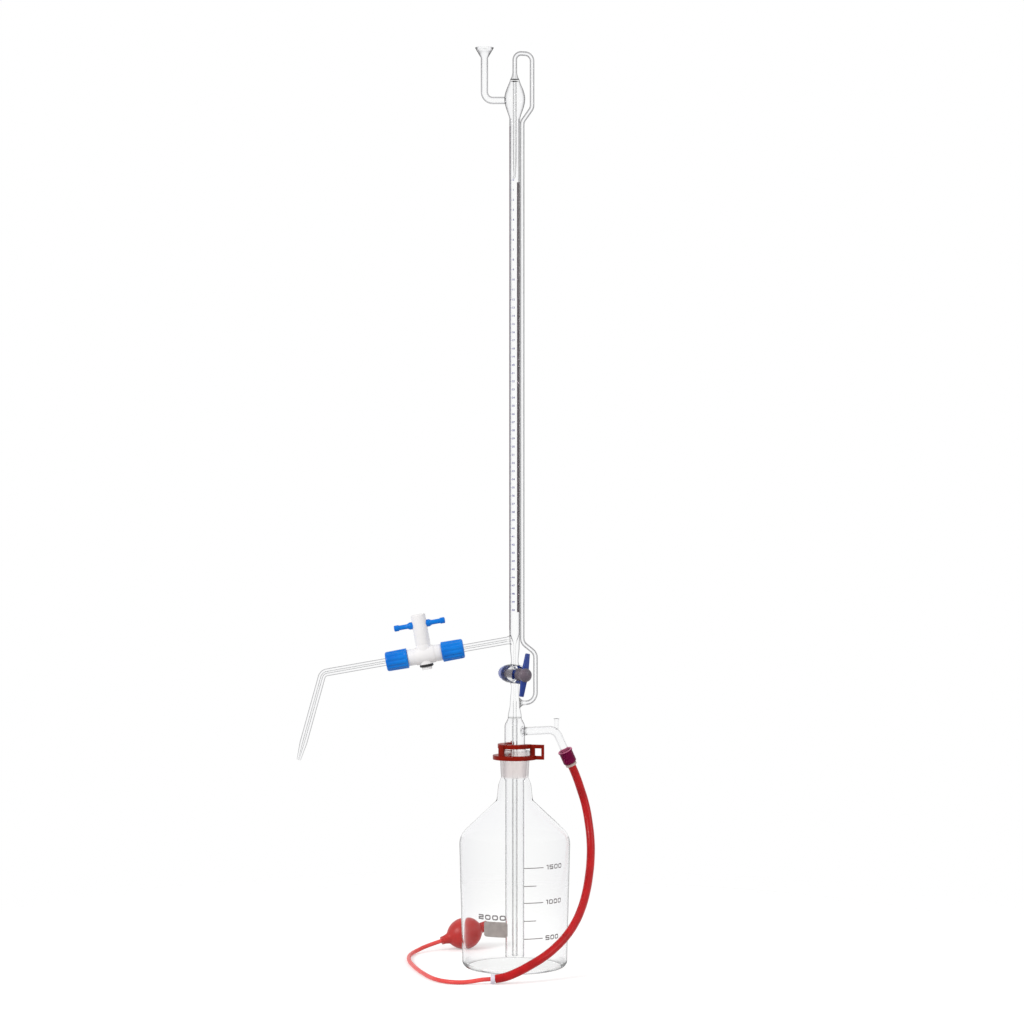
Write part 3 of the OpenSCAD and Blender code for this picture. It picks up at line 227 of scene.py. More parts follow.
def moulded_finish(name, pale, deep, gloss, spots, bump, **fixed):
    """A rubber, plastic, enamel or ground finish: two close colours, uneven gloss and a fine grain."""
    finish, tree, shader = new_finish(name)
    surface = placed(tree, "Group")
    surface.node_tree = moulding
    fed(tree, surface, Mottle_Scale=spots[0], Grain_Scale=spots[1])
    grain = surface.outputs["Grain"]
    colour = blended(tree, surface.outputs["Mottle"], paint(*deep), paint(*pale))
    dull = placed(tree, "MapRange", Value=grain, To_Min=gloss[0], To_Max=gloss[1])
    bumps = placed(tree, "Bump", Strength=bump, Distance=0.0002, Height=grain)
    fed(tree, shader, Base_Color=colour, Roughness=dull.outputs["Result"], Normal=bumps.outputs["Normal"])
    fed(tree, shader, Specular_IOR_Level=0.3)
    fed(tree, shader, **fixed)
    return finish


hose = laid_tube("red_hose", hose_route, HOSE_WIDE)
hose.data.materials.append(moulded_finish(
    "hose_rubber", (200, 28, 32), (172, 20, 24), gloss=(0.24, 0.36), spots=(60, 900), bump=0.12,
    Specular_IOR_Level=0.18))
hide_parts("pressure_hose")
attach(hose, "burette")

thin_tube = laid_tube("pink_tube", thin_route, TUBE_WIDE)
thin_tube.data.materials.append(moulded_finish(
    "tube_rubber", (246, 90, 86), (230, 76, 74), gloss=(0.26, 0.4), spots=(70, 1200), bump=0.1,
    Subsurface_Weight=0.1, Specular_IOR_Level=0.2))
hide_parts("bulb_tube")
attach(thin_tube, "burette")

# Hose joiner
# A pale plastic bush joins the thick hose to the thin tube: it is turned with a bead in its middle,
# and a barb at either end is pushed into the rubber.
CREASE = math.radians(30)


def moulded_copy(node, name, body, finish, edge, segments=3):
    """A copy of a solid's mesh, cleaned to its flat faces and with its edges rounded off."""
    piece = linked(name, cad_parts[node].data.copy())
    piece.data.materials.clear()
    bpy.ops.object.mode_set(mode="EDIT")
    bpy.ops.mesh.select_all(action="SELECT")
    bpy.ops.mesh.remove_doubles(threshold=0.000002)
    bpy.ops.mesh.customdata_custom_splitnormals_clear()
    bpy.ops.mesh.dissolve_limited(angle_limit=math.radians(0.5))
    bpy.ops.object.mode_set(mode="OBJECT")
    rounding = piece.modifiers.new("rounding", "BEVEL")
    rounding.width = edge * MM
    rounding.segments = segments
    rounding.limit_method = "ANGLE"
    rounding.angle_limit = CREASE
    rounding.harden_normals = False
    bpy.ops.object.modifier_apply(modifier="rounding")
    bpy.ops.object.mode_set(mode="EDIT")
    bpy.ops.mesh.select_all(action="SELECT")
    bpy.ops.mesh.dissolve_degenerate(threshold=0.000001)
    bpy.ops.object.mode_set(mode="OBJECT")
    bpy.ops.object.shade_smooth_by_angle(angle=CREASE)
    piece.data.materials.append(finish)
    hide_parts(node)
    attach(piece, body)
    return piece


joiner_finish = moulded_finish(
    "joiner_plastic", (232, 228, 238), (222, 216, 230), gloss=(0.3, 0.42), spots=(80, 1500), bump=0.1)
joiner = moulded_copy("hose_joiner", "pale_joiner", "burette", joiner_finish, edge=0.5)

# Reservoir bottle
# The stock of liquid stands in a two litre bottle of clear glass, blown into a mould, so that its wall
# waves a little, with a steep shoulder and a neck that is ground inside to take the burette's cone.
FLOOR, WALL, HEEL, NECK_Z, RIM_Z = 4, 2.5, 8, 226.8, 258.8
SIDE_LOW, SIDE_HIGH, SHOULDER, SHOULDER_Z, SHOULDER_TURN = 63, 66.5, 25, 147, 47
THROAT_R, THROAT_FILLET, THROAT_IN, THROAT_DROP = 21.5, 6, 1.8, 8.5
SOCKET_LOW, SOCKET_HIGH, SOCKET_WALL = 13, 14.6, 3.5
JOINT = (NECK_Z, RIM_Z)
BLOWN = {"bending": 1.08, "wave": 0.15}
DEEPER_EDGE_SHADE = {"body": 0.98, "shade": 0.9}
PRESSED = {"bending": 1.01, "shine": 1}


def arc(centre, radius, start, end, steps=10):
    """Points of an arc in the half section, from one angle to another."""
    angles = [math.radians(start + (end - start) * i / steps) for i in range(steps + 1)]
    return [(centre[0] + radius * math.cos(a), centre[1] + radius * math.sin(a)) for a in angles]


def bottle_face(inset, floor_z, lip):
    """One face of the bottle's wall, from the middle of its floor up to its rim."""
    turn = math.radians(SHOULDER_TURN)
    slope = math.tan(math.radians(90 - SHOULDER_TURN))
    middle_r = SIDE_HIGH - SHOULDER
    reach = SHOULDER - inset
    end_r = middle_r + reach * math.cos(turn)
    end_z = SHOULDER_Z + reach * math.sin(turn)
    throat_r = THROAT_R - inset
    throat_z = end_z + (end_r - throat_r) * slope
    fillet = THROAT_FILLET + inset
    throat = (throat_r + fillet, throat_z + fillet * math.tan(turn / 2))
    return [
        (0, floor_z),
        *arc((SIDE_LOW - HEEL, floor_z + HEEL - inset), HEEL - inset, -90, 0),
        *arc((middle_r, SHOULDER_Z), reach, 0, SHOULDER_TURN, 16),
        *arc(throat, fillet, 180 + SHOULDER_TURN, 180, 8),
        (throat_r - THROAT_IN, NECK_Z - THROAT_DROP),
        (SOCKET_LOW + lip, NECK_Z),
        (SOCKET_HIGH + lip, RIM_Z),
    ]


def spun(name, outline, steps=96, place=Matrix(), start=0, sweep=360):
    """A closed half section, (radius, height) in millimetres, turned round its upright axis."""
    bpy.ops.object.select_all(action="DESELECT")
    bpy.ops.mesh.primitive_circle_add(vertices=len(outline), radius=MM)
    piece = bpy.context.object
    piece.name = name
    aim = math.radians(start)
    for corner, (r, z) in zip(piece.data.vertices, outline):
        corner.co = Vector((r * math.cos(aim), r * math.sin(aim), z)) * MM
    bpy.ops.object.mode_set(mode="EDIT")
    bpy.ops.mesh.select_all(action="SELECT")
    bpy.ops.mesh.spin(steps=steps, angle=-math.radians(sweep), center=(0, 0, 0), axis=(0, 0, 1))
    bpy.ops.mesh.select_all(action="SELECT")
    bpy.ops.mesh.remove_doubles(threshold=0.000001)
    bpy.ops.mesh.delete_loose(use_verts=True, use_edges=True, use_faces=False)
    bpy.ops.mesh.select_all(action="SELECT")
    if sweep < 360:
        bpy.ops.mesh.fill_holes(sides=len(outline))
        bpy.ops.mesh.select_all(action="SELECT")
    bpy.ops.mesh.normals_make_consistent(inside=False)
    bpy.ops.object.mode_set(mode="OBJECT")
    piece.data.transform(place)
    bpy.ops.object.shade_smooth_by_angle(angle=math.radians(35))
    return piece


def glass_finish(name, rim, edge, bending=1.1, wave=0, ground=None, frost=(255, 255, 255), shine=0.25,
                 body=0.985, shade=0.965):
    """Clear glass with painted shade in its colour towards its outline, and a ground band between two
    heights if one is given.
    """
    finish, tree, shader = new_finish(name)
    # Painted shade: a ramp on how far the surface turns from view darkens the colour, from body in the
    # middle to body times shade at rim, and to edge at the outline.
    facing = placed(tree, "LayerWeight", Blend=0.5)
    painted_edge_shade = placed(tree, "ValToRGB", Fac=facing.outputs["Facing"])
    steps = painted_edge_shade.color_ramp.elements
    steps[0].color = (body, body * 1.002, body, 1)
    steps[1].color = (edge, edge, edge * 1.05, 1)
    for share, level in ((rim, body * shade), (rim + (1 - rim) * 0.6, edge * 1.3)):
        step = steps.new(share)
        step.color = (level, level, level * 1.01, 1)
    place = placed(tree, "TexCoord").outputs["Object"]
    colour = painted_edge_shade.outputs["Color"]
    roughness = 0
    if ground:
        low, high = ground
        height = placed(tree, "SeparateXYZ", Vector=place).outputs["Z"]
        band = maths(tree, "COMPARE", height, (low + high) / 2 * MM, (high - low) / 2 * MM)
        grit = placed(tree, "TexNoise", Vector=place, Scale=900)
        dull = placed(tree, "MapRange", Value=grit.outputs["Fac"], To_Min=0.35, To_Max=0.6)
        roughness = maths(tree, "MULTIPLY", dull.outputs["Result"], band)
        colour = blended(tree, band, colour, paint(*frost), "MULTIPLY")
    if wave:
        swirl = placed(tree, "TexNoise", Vector=place, Scale=28, Detail=1)
        bumps = placed(tree, "Bump", Strength=wave, Distance=0.001, Height=swirl.outputs["Fac"])
        fed(tree, shader, Normal=bumps.outputs["Normal"])
    fed(tree, shader, Base_Color=colour, Roughness=roughness, Transmission_Weight=1, IOR=bending,
        Specular_Tint=(shine, shine, shine, 1))
    rays = placed(tree, "LightPath").outputs
    lighting = maths(tree, "MAXIMUM", rays["Is Shadow Ray"], rays["Is Diffuse Ray"])
    clear = placed(tree, "BsdfTransparent", Color=(0.96, 0.965, 0.96, 1))
    shown(tree, lighting, shader, clear, "Material Output")
    return finish


def refinished(piece, finish, chosen):
    """Another finish for the faces that pass a test of their middle, in millimetres, and their normal."""
    piece.data.materials.append(finish)
    for face in piece.data.polygons:
        if chosen(face.center / MM, face.normal):
            face.material_index = len(piece.data.materials) - 1


def looks_out(at, normal):
    """How much a face looks away from the upright axis: below zero on the wall of a bore."""
    return at.xy.dot(normal.xy)


# The bottle's faces get painted edge shade of different depths: deeper on the outer wall and socket,
# lighter on the inner faces, the shoulder's upper faces and the base.
bottle = spun("glass_bottle", bottle_face(0, 0, SOCKET_WALL) + bottle_face(WALL, FLOOR, 0)[::-1], 128)
bottle.data.materials.append(glass_finish(
    "bottle_glass", rim=0.72, edge=0.02, ground=JOINT, frost=(243, 238, 237), **DEEPER_EDGE_SHADE, **BLOWN))
lining_glass = glass_finish("lining_glass", rim=0.9, edge=0.6, **BLOWN)
refinished(bottle, lining_glass, lambda at, normal: looks_out(at, normal) < 0 and at.z < NECK_Z)
socket_glass = glass_finish(
    "socket_glass", rim=0.3, edge=0.45, ground=JOINT, frost=(248, 243, 242), **DEEPER_EDGE_SHADE, **BLOWN)
refinished(bottle, socket_glass, lambda at, normal: looks_out(at, normal) > 0 and at.z > NECK_Z)
shoulder_glass = glass_finish("shoulder_glass", rim=0.8, edge=0.4, **BLOWN)
refinished(bottle, shoulder_glass, lambda at, normal: normal.z > 0.4 and SHOULDER_Z + 3 < at.z < NECK_Z)
base_glass = glass_finish("base_glass", rim=0.9, edge=0.6, **PRESSED)
refinished(bottle, base_glass, lambda at, normal: at.z < HEEL)
foot_glass = glass_finish("foot_glass", rim=0.38, edge=0.18, **PRESSED)
refinished(bottle, foot_glass, lambda at, normal: at.z < HEEL and looks_out(at, normal) > 1)
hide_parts("reservoir_bottle")
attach(bottle, "bottle")

# Graduations on the bottle
# Marks for every quarter of the contents are fired on in grey enamel beside the stem, with their
# numbers, and a plain panel for writing on stands below the capacity.
MARK_THICK, MARK_START, MARK_END, SHORT_MARK_END, NUMBER_START = 1, 9.5, 31, 23, 34.5
PANEL_WIDE, PANEL_TALL, PANEL_CORNER, PANEL_TURN, PANEL_Z = 30, 18.2, 3, -21, 53.8
INK, INK_UNDER, INK_OVER = 0.03, 0.02, 0.04
ROUND_CUT, RING_ROUND, HOLE_ROUND, STROKE_ROUND = 0.29, 1.2, 0.5, 0.45


def bottle_radius(z):
    """Radius of the bottle's side at a height, all in millimetres."""
    share = (z - HEEL) / (SHOULDER_Z - HEEL)
    return SIDE_LOW + (SIDE_HIGH - SIDE_LOW) * min(max(share, 0), 1)


def wrapped(piece, radius_at, turn, height):
    """Bends a flat print round the upright axis, to a turn from the front and a height, in mm."""
    for corner in piece.data.vertices:
        across, up, out = corner.co / MM
        z = height + up
        r = radius_at(z)
        aim = math.radians(turn) + across / r
        corner.co = Vector(((r + out) * math.sin(aim), -(r + out) * math.cos(aim), z)) * MM


def joined(name, pieces):
    """Several pieces made one."""
    bpy.ops.object.select_all(action="DESELECT")
    for piece in pieces:
        piece.select_set(True)
    bpy.context.view_layer.objects.active = pieces[0]
    bpy.ops.object.join()
    pieces[0].name = name
    return pieces[0]


def softened(corners, radius):
    """A closed outline with round corners and points along its sides, a millimetre or so apart."""
    points = []
    for i, corner in enumerate(corners):
        following = corners[(i + 1) % len(corners)]
        back = (corners[i - 1] - corner).normalized() * radius
        on = (following - corner).normalized() * radius
        side = following - corner - 2 * on
        steps = max(1, round(side.length))
        points += [corner + back, corner + ROUND_CUT * (back + on)]
        points += [corner + on + side * k / steps for k in range(steps)]
    return points


def digit_outlines(digit, w, h, t):
    """Outlines of a square-cut digit from its width, height and stroke."""
    low, high = (h - t) / 2, (h + t) / 2
    if digit == "0":
        rings = [[(0, 0), (w, 0), (w, h), (0, h)], [(t, t), (w - t, t), (w - t, h - t), (t, h - t)]]
        rounds = (RING_ROUND * t, HOLE_ROUND * t)
        return [softened([Vector(c) for c in ring], r) for ring, r in zip(rings, rounds)]
    if digit == "1":
        corners = [(w - t, 0), (w, 0), (w, h), (0, h), (0, h - t), (w - t, h - t)]
    else:
        corners = [(0, h), (w, h), (w, low), (t, low), (t, t), (w, t), (w, 0), (0, 0), (0, high),
                   (w - t, high), (w - t, h - t), (0, h - t)]
    if digit == "5":
        corners = [(w - x, y) for x, y in corners]
    return [softened([Vector(c) for c in corners], STROKE_ROUND * t)]


def square_number(words, turn, height, wide, tall, stroke):
    """A number in raised enamel with square-cut digits, laid on the bottle from a turn onwards."""
    ink = bpy.data.curves.new("number", "CURVE")
    ink.dimensions = "2D"
    ink.fill_mode = "BOTH"
    ink.extrude = INK * MM
    left = 0
    for digit in words:
        width = wide / 2 if digit == "1" else wide
        for outline in digit_outlines(digit, width, tall, stroke):
            spline = ink.splines.new("POLY")
            spline.points.add(len(outline) - 1)
            spline.use_cyclic_u = True
            for point, place in zip(spline.points, outline):
                point.co = ((left + place.x) * MM, (place.y - tall / 2) * MM, 0, 1)
        left += width + wide / 4
    piece = linked("number", ink)
    bpy.ops.object.convert(target="MESH")
    wrapped(piece, bottle_radius, turn, height)
    return piece


def printed_line(r, z, thickness, start, end, steps):
    """A fired line round part of the glass, between two turns from the front."""
    low, high = z - thickness / 2, z + thickness / 2
    under, over = r - INK_UNDER, r + INK_OVER
    section = [(under, low), (over, low), (over, high), (under, high)]
    return spun("line", section, steps, start=start - 90, sweep=end - start)


mark_pieces = []
for number, height in (("1500", 126.4), ("", 105.2), ("1000", 85.2), ("", 64), ("500", 42.9)):
    mark_end = MARK_END if number else SHORT_MARK_END
    mark_pieces.append(printed_line(bottle_radius(height), height, MARK_THICK, MARK_START, mark_end, 12))
    if number:
        mark_pieces.append(square_number(number, NUMBER_START, height, wide=6, tall=5.6, stroke=1.2))
mark_pieces.append(square_number("2000", -41.4, 67.7, wide=7.6, tall=6.1, stroke=1.6))
marks = joined("bottle_marks", mark_pieces)
marks.data.materials.append(moulded_finish(
    "grey_enamel", (142, 138, 139), (124, 120, 122), gloss=(0.45, 0.6), spots=(300, 2000), bump=0.1))
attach(marks, "bottle")

bpy.ops.object.select_all(action="DESELECT")
bpy.ops.mesh.primitive_plane_add(size=1)
panel = bpy.context.object
panel.name = "writing_panel"
panel.scale = (PANEL_WIDE * MM, PANEL_TALL * MM, 1)
bpy.ops.object.transform_apply(scale=True)
bpy.ops.object.mode_set(mode="EDIT")
bpy.ops.mesh.select_all(action="SELECT")
bpy.ops.mesh.bevel(offset=PANEL_CORNER * MM, segments=6, affect="VERTICES")
bpy.ops.mesh.select_all(action="SELECT")
for cut in range(2 - PANEL_WIDE // 2, PANEL_WIDE // 2, 2):
    bpy.ops.mesh.bisect(plane_co=(cut * MM, 0, 0), plane_no=(1, 0, 0))
    bpy.ops.mesh.select_all(action="SELECT")
bpy.ops.object.mode_set(mode="OBJECT")
wrapped(panel, lambda z: bottle_radius(z) + INK, PANEL_TURN, PANEL_Z)
skin = panel.modifiers.new("skin", "SOLIDIFY")
skin.thickness = INK * MM
skin.offset = 0
bpy.ops.object.modifier_apply(modifier="skin")
panel.data.materials.append(moulded_finish(
    "panel_enamel", (170, 163, 159), (156, 149, 146), gloss=(0.6, 0.8), spots=(200, 2500), bump=0.2))
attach(panel, "bottle")

# Burette head and stem
# The head is one piece of blown glass: an open stem that hangs into the bottle, the ground cone that
# sits in its neck, a rounded head and a waisted stem above, with the thin dip tube sealed inside.
STEM_IN, STEM_OUT, STEM_FOOT, STEM_Z = 9.8, 11.2, 11.9, 222
DIP_IN, DIP_OUT, DIP_FOOT, DIP_TOP, LIP = 2, 3.2, 13, 318, 0.3
CONE_IN, CONE_LOW, CONE_HIGH = 10.75, 12.95, 14.55
HEAD_IN, HEAD_OUT, HEAD_LOW, HEAD_HIGH, SEAL_R, SEAL_Z = 10.6, 12.2, 261.9, 288.5, 6.6, 297.1
SEAM_R, SEAM_Z, BRANCH_Z, WAIST_Z, BARREL_FOOT = 8.2, 299.1, 316.1, 335.7, 341.7
WAIST_OUT, WAIST_IN, WAIST_BORE = 5.7, 4.3, 1.25


def eased(start, end, steps=6):
    """Points of a smooth shoulder from one point of a half section to another, without the first."""
    points = []
    for i in range(1, steps):
        share = i / steps
        bend = (1 - math.cos(math.pi * share)) / 2
        points.append((start[0] + (end[0] - start[0]) * bend, start[1] + (end[1] - start[1]) * share))
    return points + [end]


head = spun("glass_head", [
    (STEM_IN, STEM_FOOT + 0.1), (STEM_IN + LIP, STEM_FOOT), (STEM_OUT - LIP, STEM_FOOT),
    (STEM_OUT, STEM_FOOT + LIP), (STEM_OUT, STEM_Z),
    *eased((STEM_OUT, STEM_Z), (CONE_LOW, NECK_Z)), (CONE_HIGH, RIM_Z),
    *eased((CONE_HIGH, RIM_Z), (HEAD_OUT, HEAD_LOW)), (HEAD_OUT, HEAD_HIGH),
    *eased((HEAD_OUT, HEAD_HIGH), (SEAM_R, SEAM_Z), 10),
    *eased((SEAM_R, SEAM_Z), (WAIST_OUT, BRANCH_Z), 8),
    *eased((WAIST_OUT, BRANCH_Z), (WAIST_IN, WAIST_Z)),
    *eased((WAIST_IN, WAIST_Z), (WAIST_OUT, BARREL_FOOT)),
    (WAIST_BORE, BARREL_FOOT), (WAIST_BORE, DIP_TOP + 1.5),
    (DIP_IN, DIP_TOP), (DIP_IN, RIM_Z), (DIP_IN, NECK_Z), (DIP_IN, DIP_FOOT + 0.2),
    (DIP_IN + LIP, DIP_FOOT), (DIP_OUT - LIP, DIP_FOOT),
    (DIP_OUT, DIP_FOOT + 0.2), (DIP_OUT, NECK_Z), (DIP_OUT, RIM_Z), (DIP_OUT, SEAL_Z),
    (SEAL_R, SEAL_Z), *eased((SEAL_R, SEAL_Z), (HEAD_IN, HEAD_HIGH), 10),
    (HEAD_IN, HEAD_LOW), (CONE_IN, NECK_Z), *eased((CONE_IN, NECK_Z), (STEM_IN, STEM_Z)),
])
head.data.materials.append(glass_finish("head_glass", rim=0.42, edge=0.04, ground=JOINT))
# The seam band is painted dark grey all round: painted shade where the glass turns in at the seam.
seam_glass = glass_finish("seam_glass", rim=0.3, edge=0.08, body=0.4)
refinished(head, seam_glass, lambda at, normal: SEAM_Z - 1.1 < at.z < SEAM_Z + 0.1)
dip_glass = glass_finish("dip_glass", rim=0.2, edge=0.02)
refinished(head, dip_glass, lambda at, normal: at.xy.length < DIP_OUT + 0.1 and at.z < SEAL_Z - 0.1)
head_lining = glass_finish("head_lining", rim=0.9, edge=0.6)
refinished(head, head_lining, lambda at, normal: looks_out(at, normal) < 0 and at.xy.length > 5)
cone_glass = glass_finish("cone_glass", rim=0.6, edge=0.6, ground=JOINT)
refinished(head, cone_glass, lambda at, normal: NECK_Z < at.z < RIM_Z)
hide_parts("joint_head", "dip_tube")
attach(head, "burette")

# Drain stopcock barrel
# A short thick tube of glass lies across the stem, fused to it above and below. Its bore is ground to
# a taper that holds the key.
KEY_OUT, BARREL_Z, BARREL_HALF = Vector((0.46947, -0.88295, 0)), 350.9, 14
TAPER_SMALL, TAPER_LARGE, BARREL_R, BARREL_ROUND = 5.8, 7.8, 11.2, 1


def facing_along(at, heading):
    """A placing that turns upright to a heading, with its foot at a point in millimetres."""
    turn = Vector(heading).to_track_quat("Z", "Y").to_matrix().to_4x4()
    return Matrix.Translation(Vector(at) * MM) @ turn


barrel_place = facing_along((0, 0, BARREL_Z), KEY_OUT)
round_r, round_at = BARREL_R - BARREL_ROUND, BARREL_HALF - BARREL_ROUND
barrel = spun("glass_barrel", [
    (TAPER_SMALL, -BARREL_HALF), *arc((round_r, -round_at), BARREL_ROUND, -90, 0, 4),
    *arc((round_r, round_at), BARREL_ROUND, 0, 90, 4), (TAPER_LARGE, BARREL_HALF),
], 72, barrel_place)
barrel.data.materials.append(glass_finish("barrel_glass", rim=0.5, edge=0.03, bending=1.12))
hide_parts("drain_barrel")
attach(barrel, "burette")

# Burette column
# The graduated glass tube stands on a waisted stem and opens at its top into the overflow bulb, which
# is blown from the same tube. Its bore is a little narrower over the upper part of the scale.
TUBE_R, BORE_LOW, BORE_HIGH, BORE_CHANGE_Z = 6.55, 5.65, 5.15, 800.4
COLUMN_FOOT, COLUMN_WAIST_Z, STEM_TOP, TUBE_FOOT = 360.1, 366.1, 383.7, 400.9
BULB_LOW, BULB_TOP, BULB_R, BULB_WALL = 1017.9, 1064.4, 12.5, 1.2
SEAL_UNDER, SEAL_OUT, SEAL_IN = BULB_TOP - 2, 5.5, 4.3


def bulb_face(inset, low_r, top_r, end_z, steps=28):
    """One face of the overflow bulb's wall, from the tube up to the seal."""
    belly = BULB_R - inset
    points = []
    for i in range(steps + 1):
        f = i / steps
        end_r = low_r if f < 0.5 else top_r
        z = BULB_LOW + (BULB_TOP - BULB_LOW) * f
        if z < end_z:
            points.append((end_r + (belly - end_r) * math.sin(math.pi * f) ** 1.3, z))
    return points


column = spun("glass_column", [
    (WAIST_BORE, COLUMN_FOOT), (WAIST_OUT, COLUMN_FOOT),
    *eased((WAIST_OUT, COLUMN_FOOT), (WAIST_IN, COLUMN_WAIST_Z)),
    *eased((WAIST_IN, COLUMN_WAIST_Z), (WAIST_OUT, STEM_TOP)),
    *eased((WAIST_OUT, STEM_TOP), (TUBE_R, TUBE_FOOT)),
    *bulb_face(0, TUBE_R, SEAL_OUT, BULB_TOP - 0.1),
    (SEAL_OUT, BULB_TOP), (1, BULB_TOP), (1, SEAL_UNDER), (SEAL_IN, SEAL_UNDER),
    *bulb_face(BULB_WALL, BORE_HIGH, SEAL_IN, SEAL_UNDER - 0.1)[::-1],
    (BORE_HIGH, BORE_CHANGE_Z), (BORE_LOW, BORE_CHANGE_Z - 1), (BORE_LOW, TUBE_FOOT),
    *eased((BORE_LOW, TUBE_FOOT), (WAIST_BORE, STEM_TOP + 0.8)),
])
column.data.materials.append(glass_finish("burette_glass", rim=0.3, edge=0.02))
refinished(column, head_lining, lambda at, normal: looks_out(at, normal) < 0 and at.z > BULB_LOW)
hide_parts("burette_tube", "overflow_bulb")
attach(column, "burette")

# Zero nozzle, vent and fill tube
# Drawn glass tubes are sealed into the bulb. The nozzle hangs in the column and its bent tip sets the
# zero, the vent opens in a small funnel, and the fill tube bends over and runs down to the lower stem.
SIDES, BEND_STEP, FILL_TURN = 48, 6, 20
UP, BACK = Vector((0, 0, 1)), Vector((0, 1, 0))
thin_glass = glass_finish("thin_glass", rim=0.12, edge=0.012)
wide_glass = glass_finish("wide_glass", rim=0.28, edge=0.05)
root_glass = glass_finish("root_glass", rim=0.3, edge=0.06)


def drawn_wall(widths, side, start, heading, normal, moves):
    """One face of a bent tube: a ring that is run on, drawn to another width or bent in a plane."""
    at, ahead, across = Vector(start) * MM, Vector(heading).normalized(), Vector(normal).normalized()
    width = widths[side]
    bpy.ops.object.select_all(action="DESELECT")
    bpy.ops.mesh.primitive_circle_add(vertices=SIDES, radius=width / 2 * MM)
    piece = bpy.context.object
    piece.data.transform(facing_along(start, ahead))
    bpy.ops.object.mode_set(mode="EDIT")
    bpy.ops.mesh.select_all(action="SELECT")
    for kind, *values in moves:
        if kind == "bend":
            radius, angle = values
            centre = at + across.cross(ahead) * radius * MM * math.copysign(1, angle)
            turn = Matrix.Rotation(math.radians(angle), 3, across)
            steps = max(4, round(abs(angle) / BEND_STEP))
            bpy.ops.mesh.spin(steps=steps, angle=-math.radians(angle), center=centre, axis=across)
            at = centre + turn @ (at - centre)
            ahead = turn @ ahead
        else:
            step = ahead * values[0] * MM
            bpy.ops.mesh.extrude_region_move(TRANSFORM_OT_translate={"value": step})
            at = at + step
            if kind == "draw":
                share = values[1 + side] / width
                width = values[1 + side]
                bpy.ops.transform.resize(value=(share, share, share), center_override=at)
    bpy.ops.object.mode_set(mode="OBJECT")
    return piece, at


def drawn_tube(name, glass, widths, start, heading, normal, moves, bore=None):
    """A bent glass tube with its bore; widths are the outer and inner ones, all in millimetres."""
    outer, end = drawn_wall(widths, 0, start, heading, normal, moves)
    inner, end = drawn_wall(widths, 1, start, heading, normal, moves)
    outer.data.materials.append(glass)
    inner.data.materials.append(bore or glass)
    piece = joined(name, [outer, inner])
    ends = (Vector(start) * MM, end)
    for here, there in (ends, ends[::-1]):
        bpy.ops.object.mode_set(mode="EDIT")
        bpy.ops.mesh.select_mode(type="EDGE")
        bpy.ops.mesh.select_all(action="DESELECT")
        bpy.ops.mesh.select_non_manifold(extend=False)
        bpy.ops.object.mode_set(mode="OBJECT")
        for edge in piece.data.edges:
            at = piece.data.vertices[edge.vertices[0]].co
            edge.select = edge.select and (at - here).length < (at - there).length
        bpy.ops.object.mode_set(mode="EDIT")
        bpy.ops.mesh.bridge_edge_loops()
    bpy.ops.mesh.select_mode(type="VERT")
    bpy.ops.mesh.select_all(action="SELECT")
    bpy.ops.mesh.normals_make_consistent(inside=False)
    bpy.ops.object.mode_set(mode="OBJECT")
    bpy.ops.object.shade_smooth_by_angle(angle=math.radians(40))
    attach(piece, "burette")
    return piece


def fused_root(piece, root, reach):
    """Gives the flare of a tube, up to a reach from its root, a lighter painted edge shade."""
    refinished(piece, root_glass, lambda at, normal: (at - root).length < reach)


def cranked(shift, drop, radius):
    """Two bends and the straight between them, which carry a tube aside by a shift."""
    side = math.copysign(1, shift)
    spare = 2 * radius - abs(shift)
    reach = math.hypot(drop, spare)
    angle = side * math.degrees(math.asin(2 * radius / reach) - math.atan2(spare, drop))
    straight = math.sqrt(reach ** 2 - 4 * radius ** 2)
    return [("bend", radius, angle), ("run", straight), ("bend", radius, -angle)]


def aside(turn):
    """A level heading, at a turn from the right."""
    return Vector((math.cos(math.radians(turn)), math.sin(math.radians(turn)), 0))


nozzle = drawn_tube("glass_nozzle", thin_glass, (4.3, 2), (0, 0, SEAL_UNDER), -UP, BACK, [
    ("run", 95.7), ("draw", 17.2, 2.6, 1.2), ("bend", 4, 60)])
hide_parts("zero_nozzle")

vent = drawn_tube("glass_vent", wide_glass, (8.6, 6.2), (-11.6, 0, 1039.4), (-1, 0, 0), BACK, [
    ("run", 14.8), ("bend", 10, 90), ("run", 41), ("draw", 11, 21.4, 19), ("draw", 1, 22.6, 20.4)])
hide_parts("vent_funnel")

fill_out = aside(FILL_TURN)
fill_across = UP.cross(fill_out)
fill = drawn_tube("glass_fill_tube", thin_glass, (11, 2), (0, 0, BULB_TOP), UP, fill_across, [
    ("draw", 3, 7.6, 2.4), ("draw", 5, 5.4, 3.2), ("run", 15.4), ("bend", 8.5, 90), ("run", 5.2),
    ("bend", 8.5, 90), ("run", 52.9), *cranked(12.65, 24, 10), ("run", 617), *cranked(-17.05, 24, 11),
    ("run", 41.8), ("bend", 12, 90), ("run", 2), ("draw", 2, 6.2, 3.6), ("draw", 2, 8.2, 5),
    ("draw", 2, 11.4, 7.4), ("draw", 1, 13.4, 9)])
fused_root(fill, 5.6 * fill_out + BRANCH_Z * UP, 8.5)
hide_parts("fill_tube")

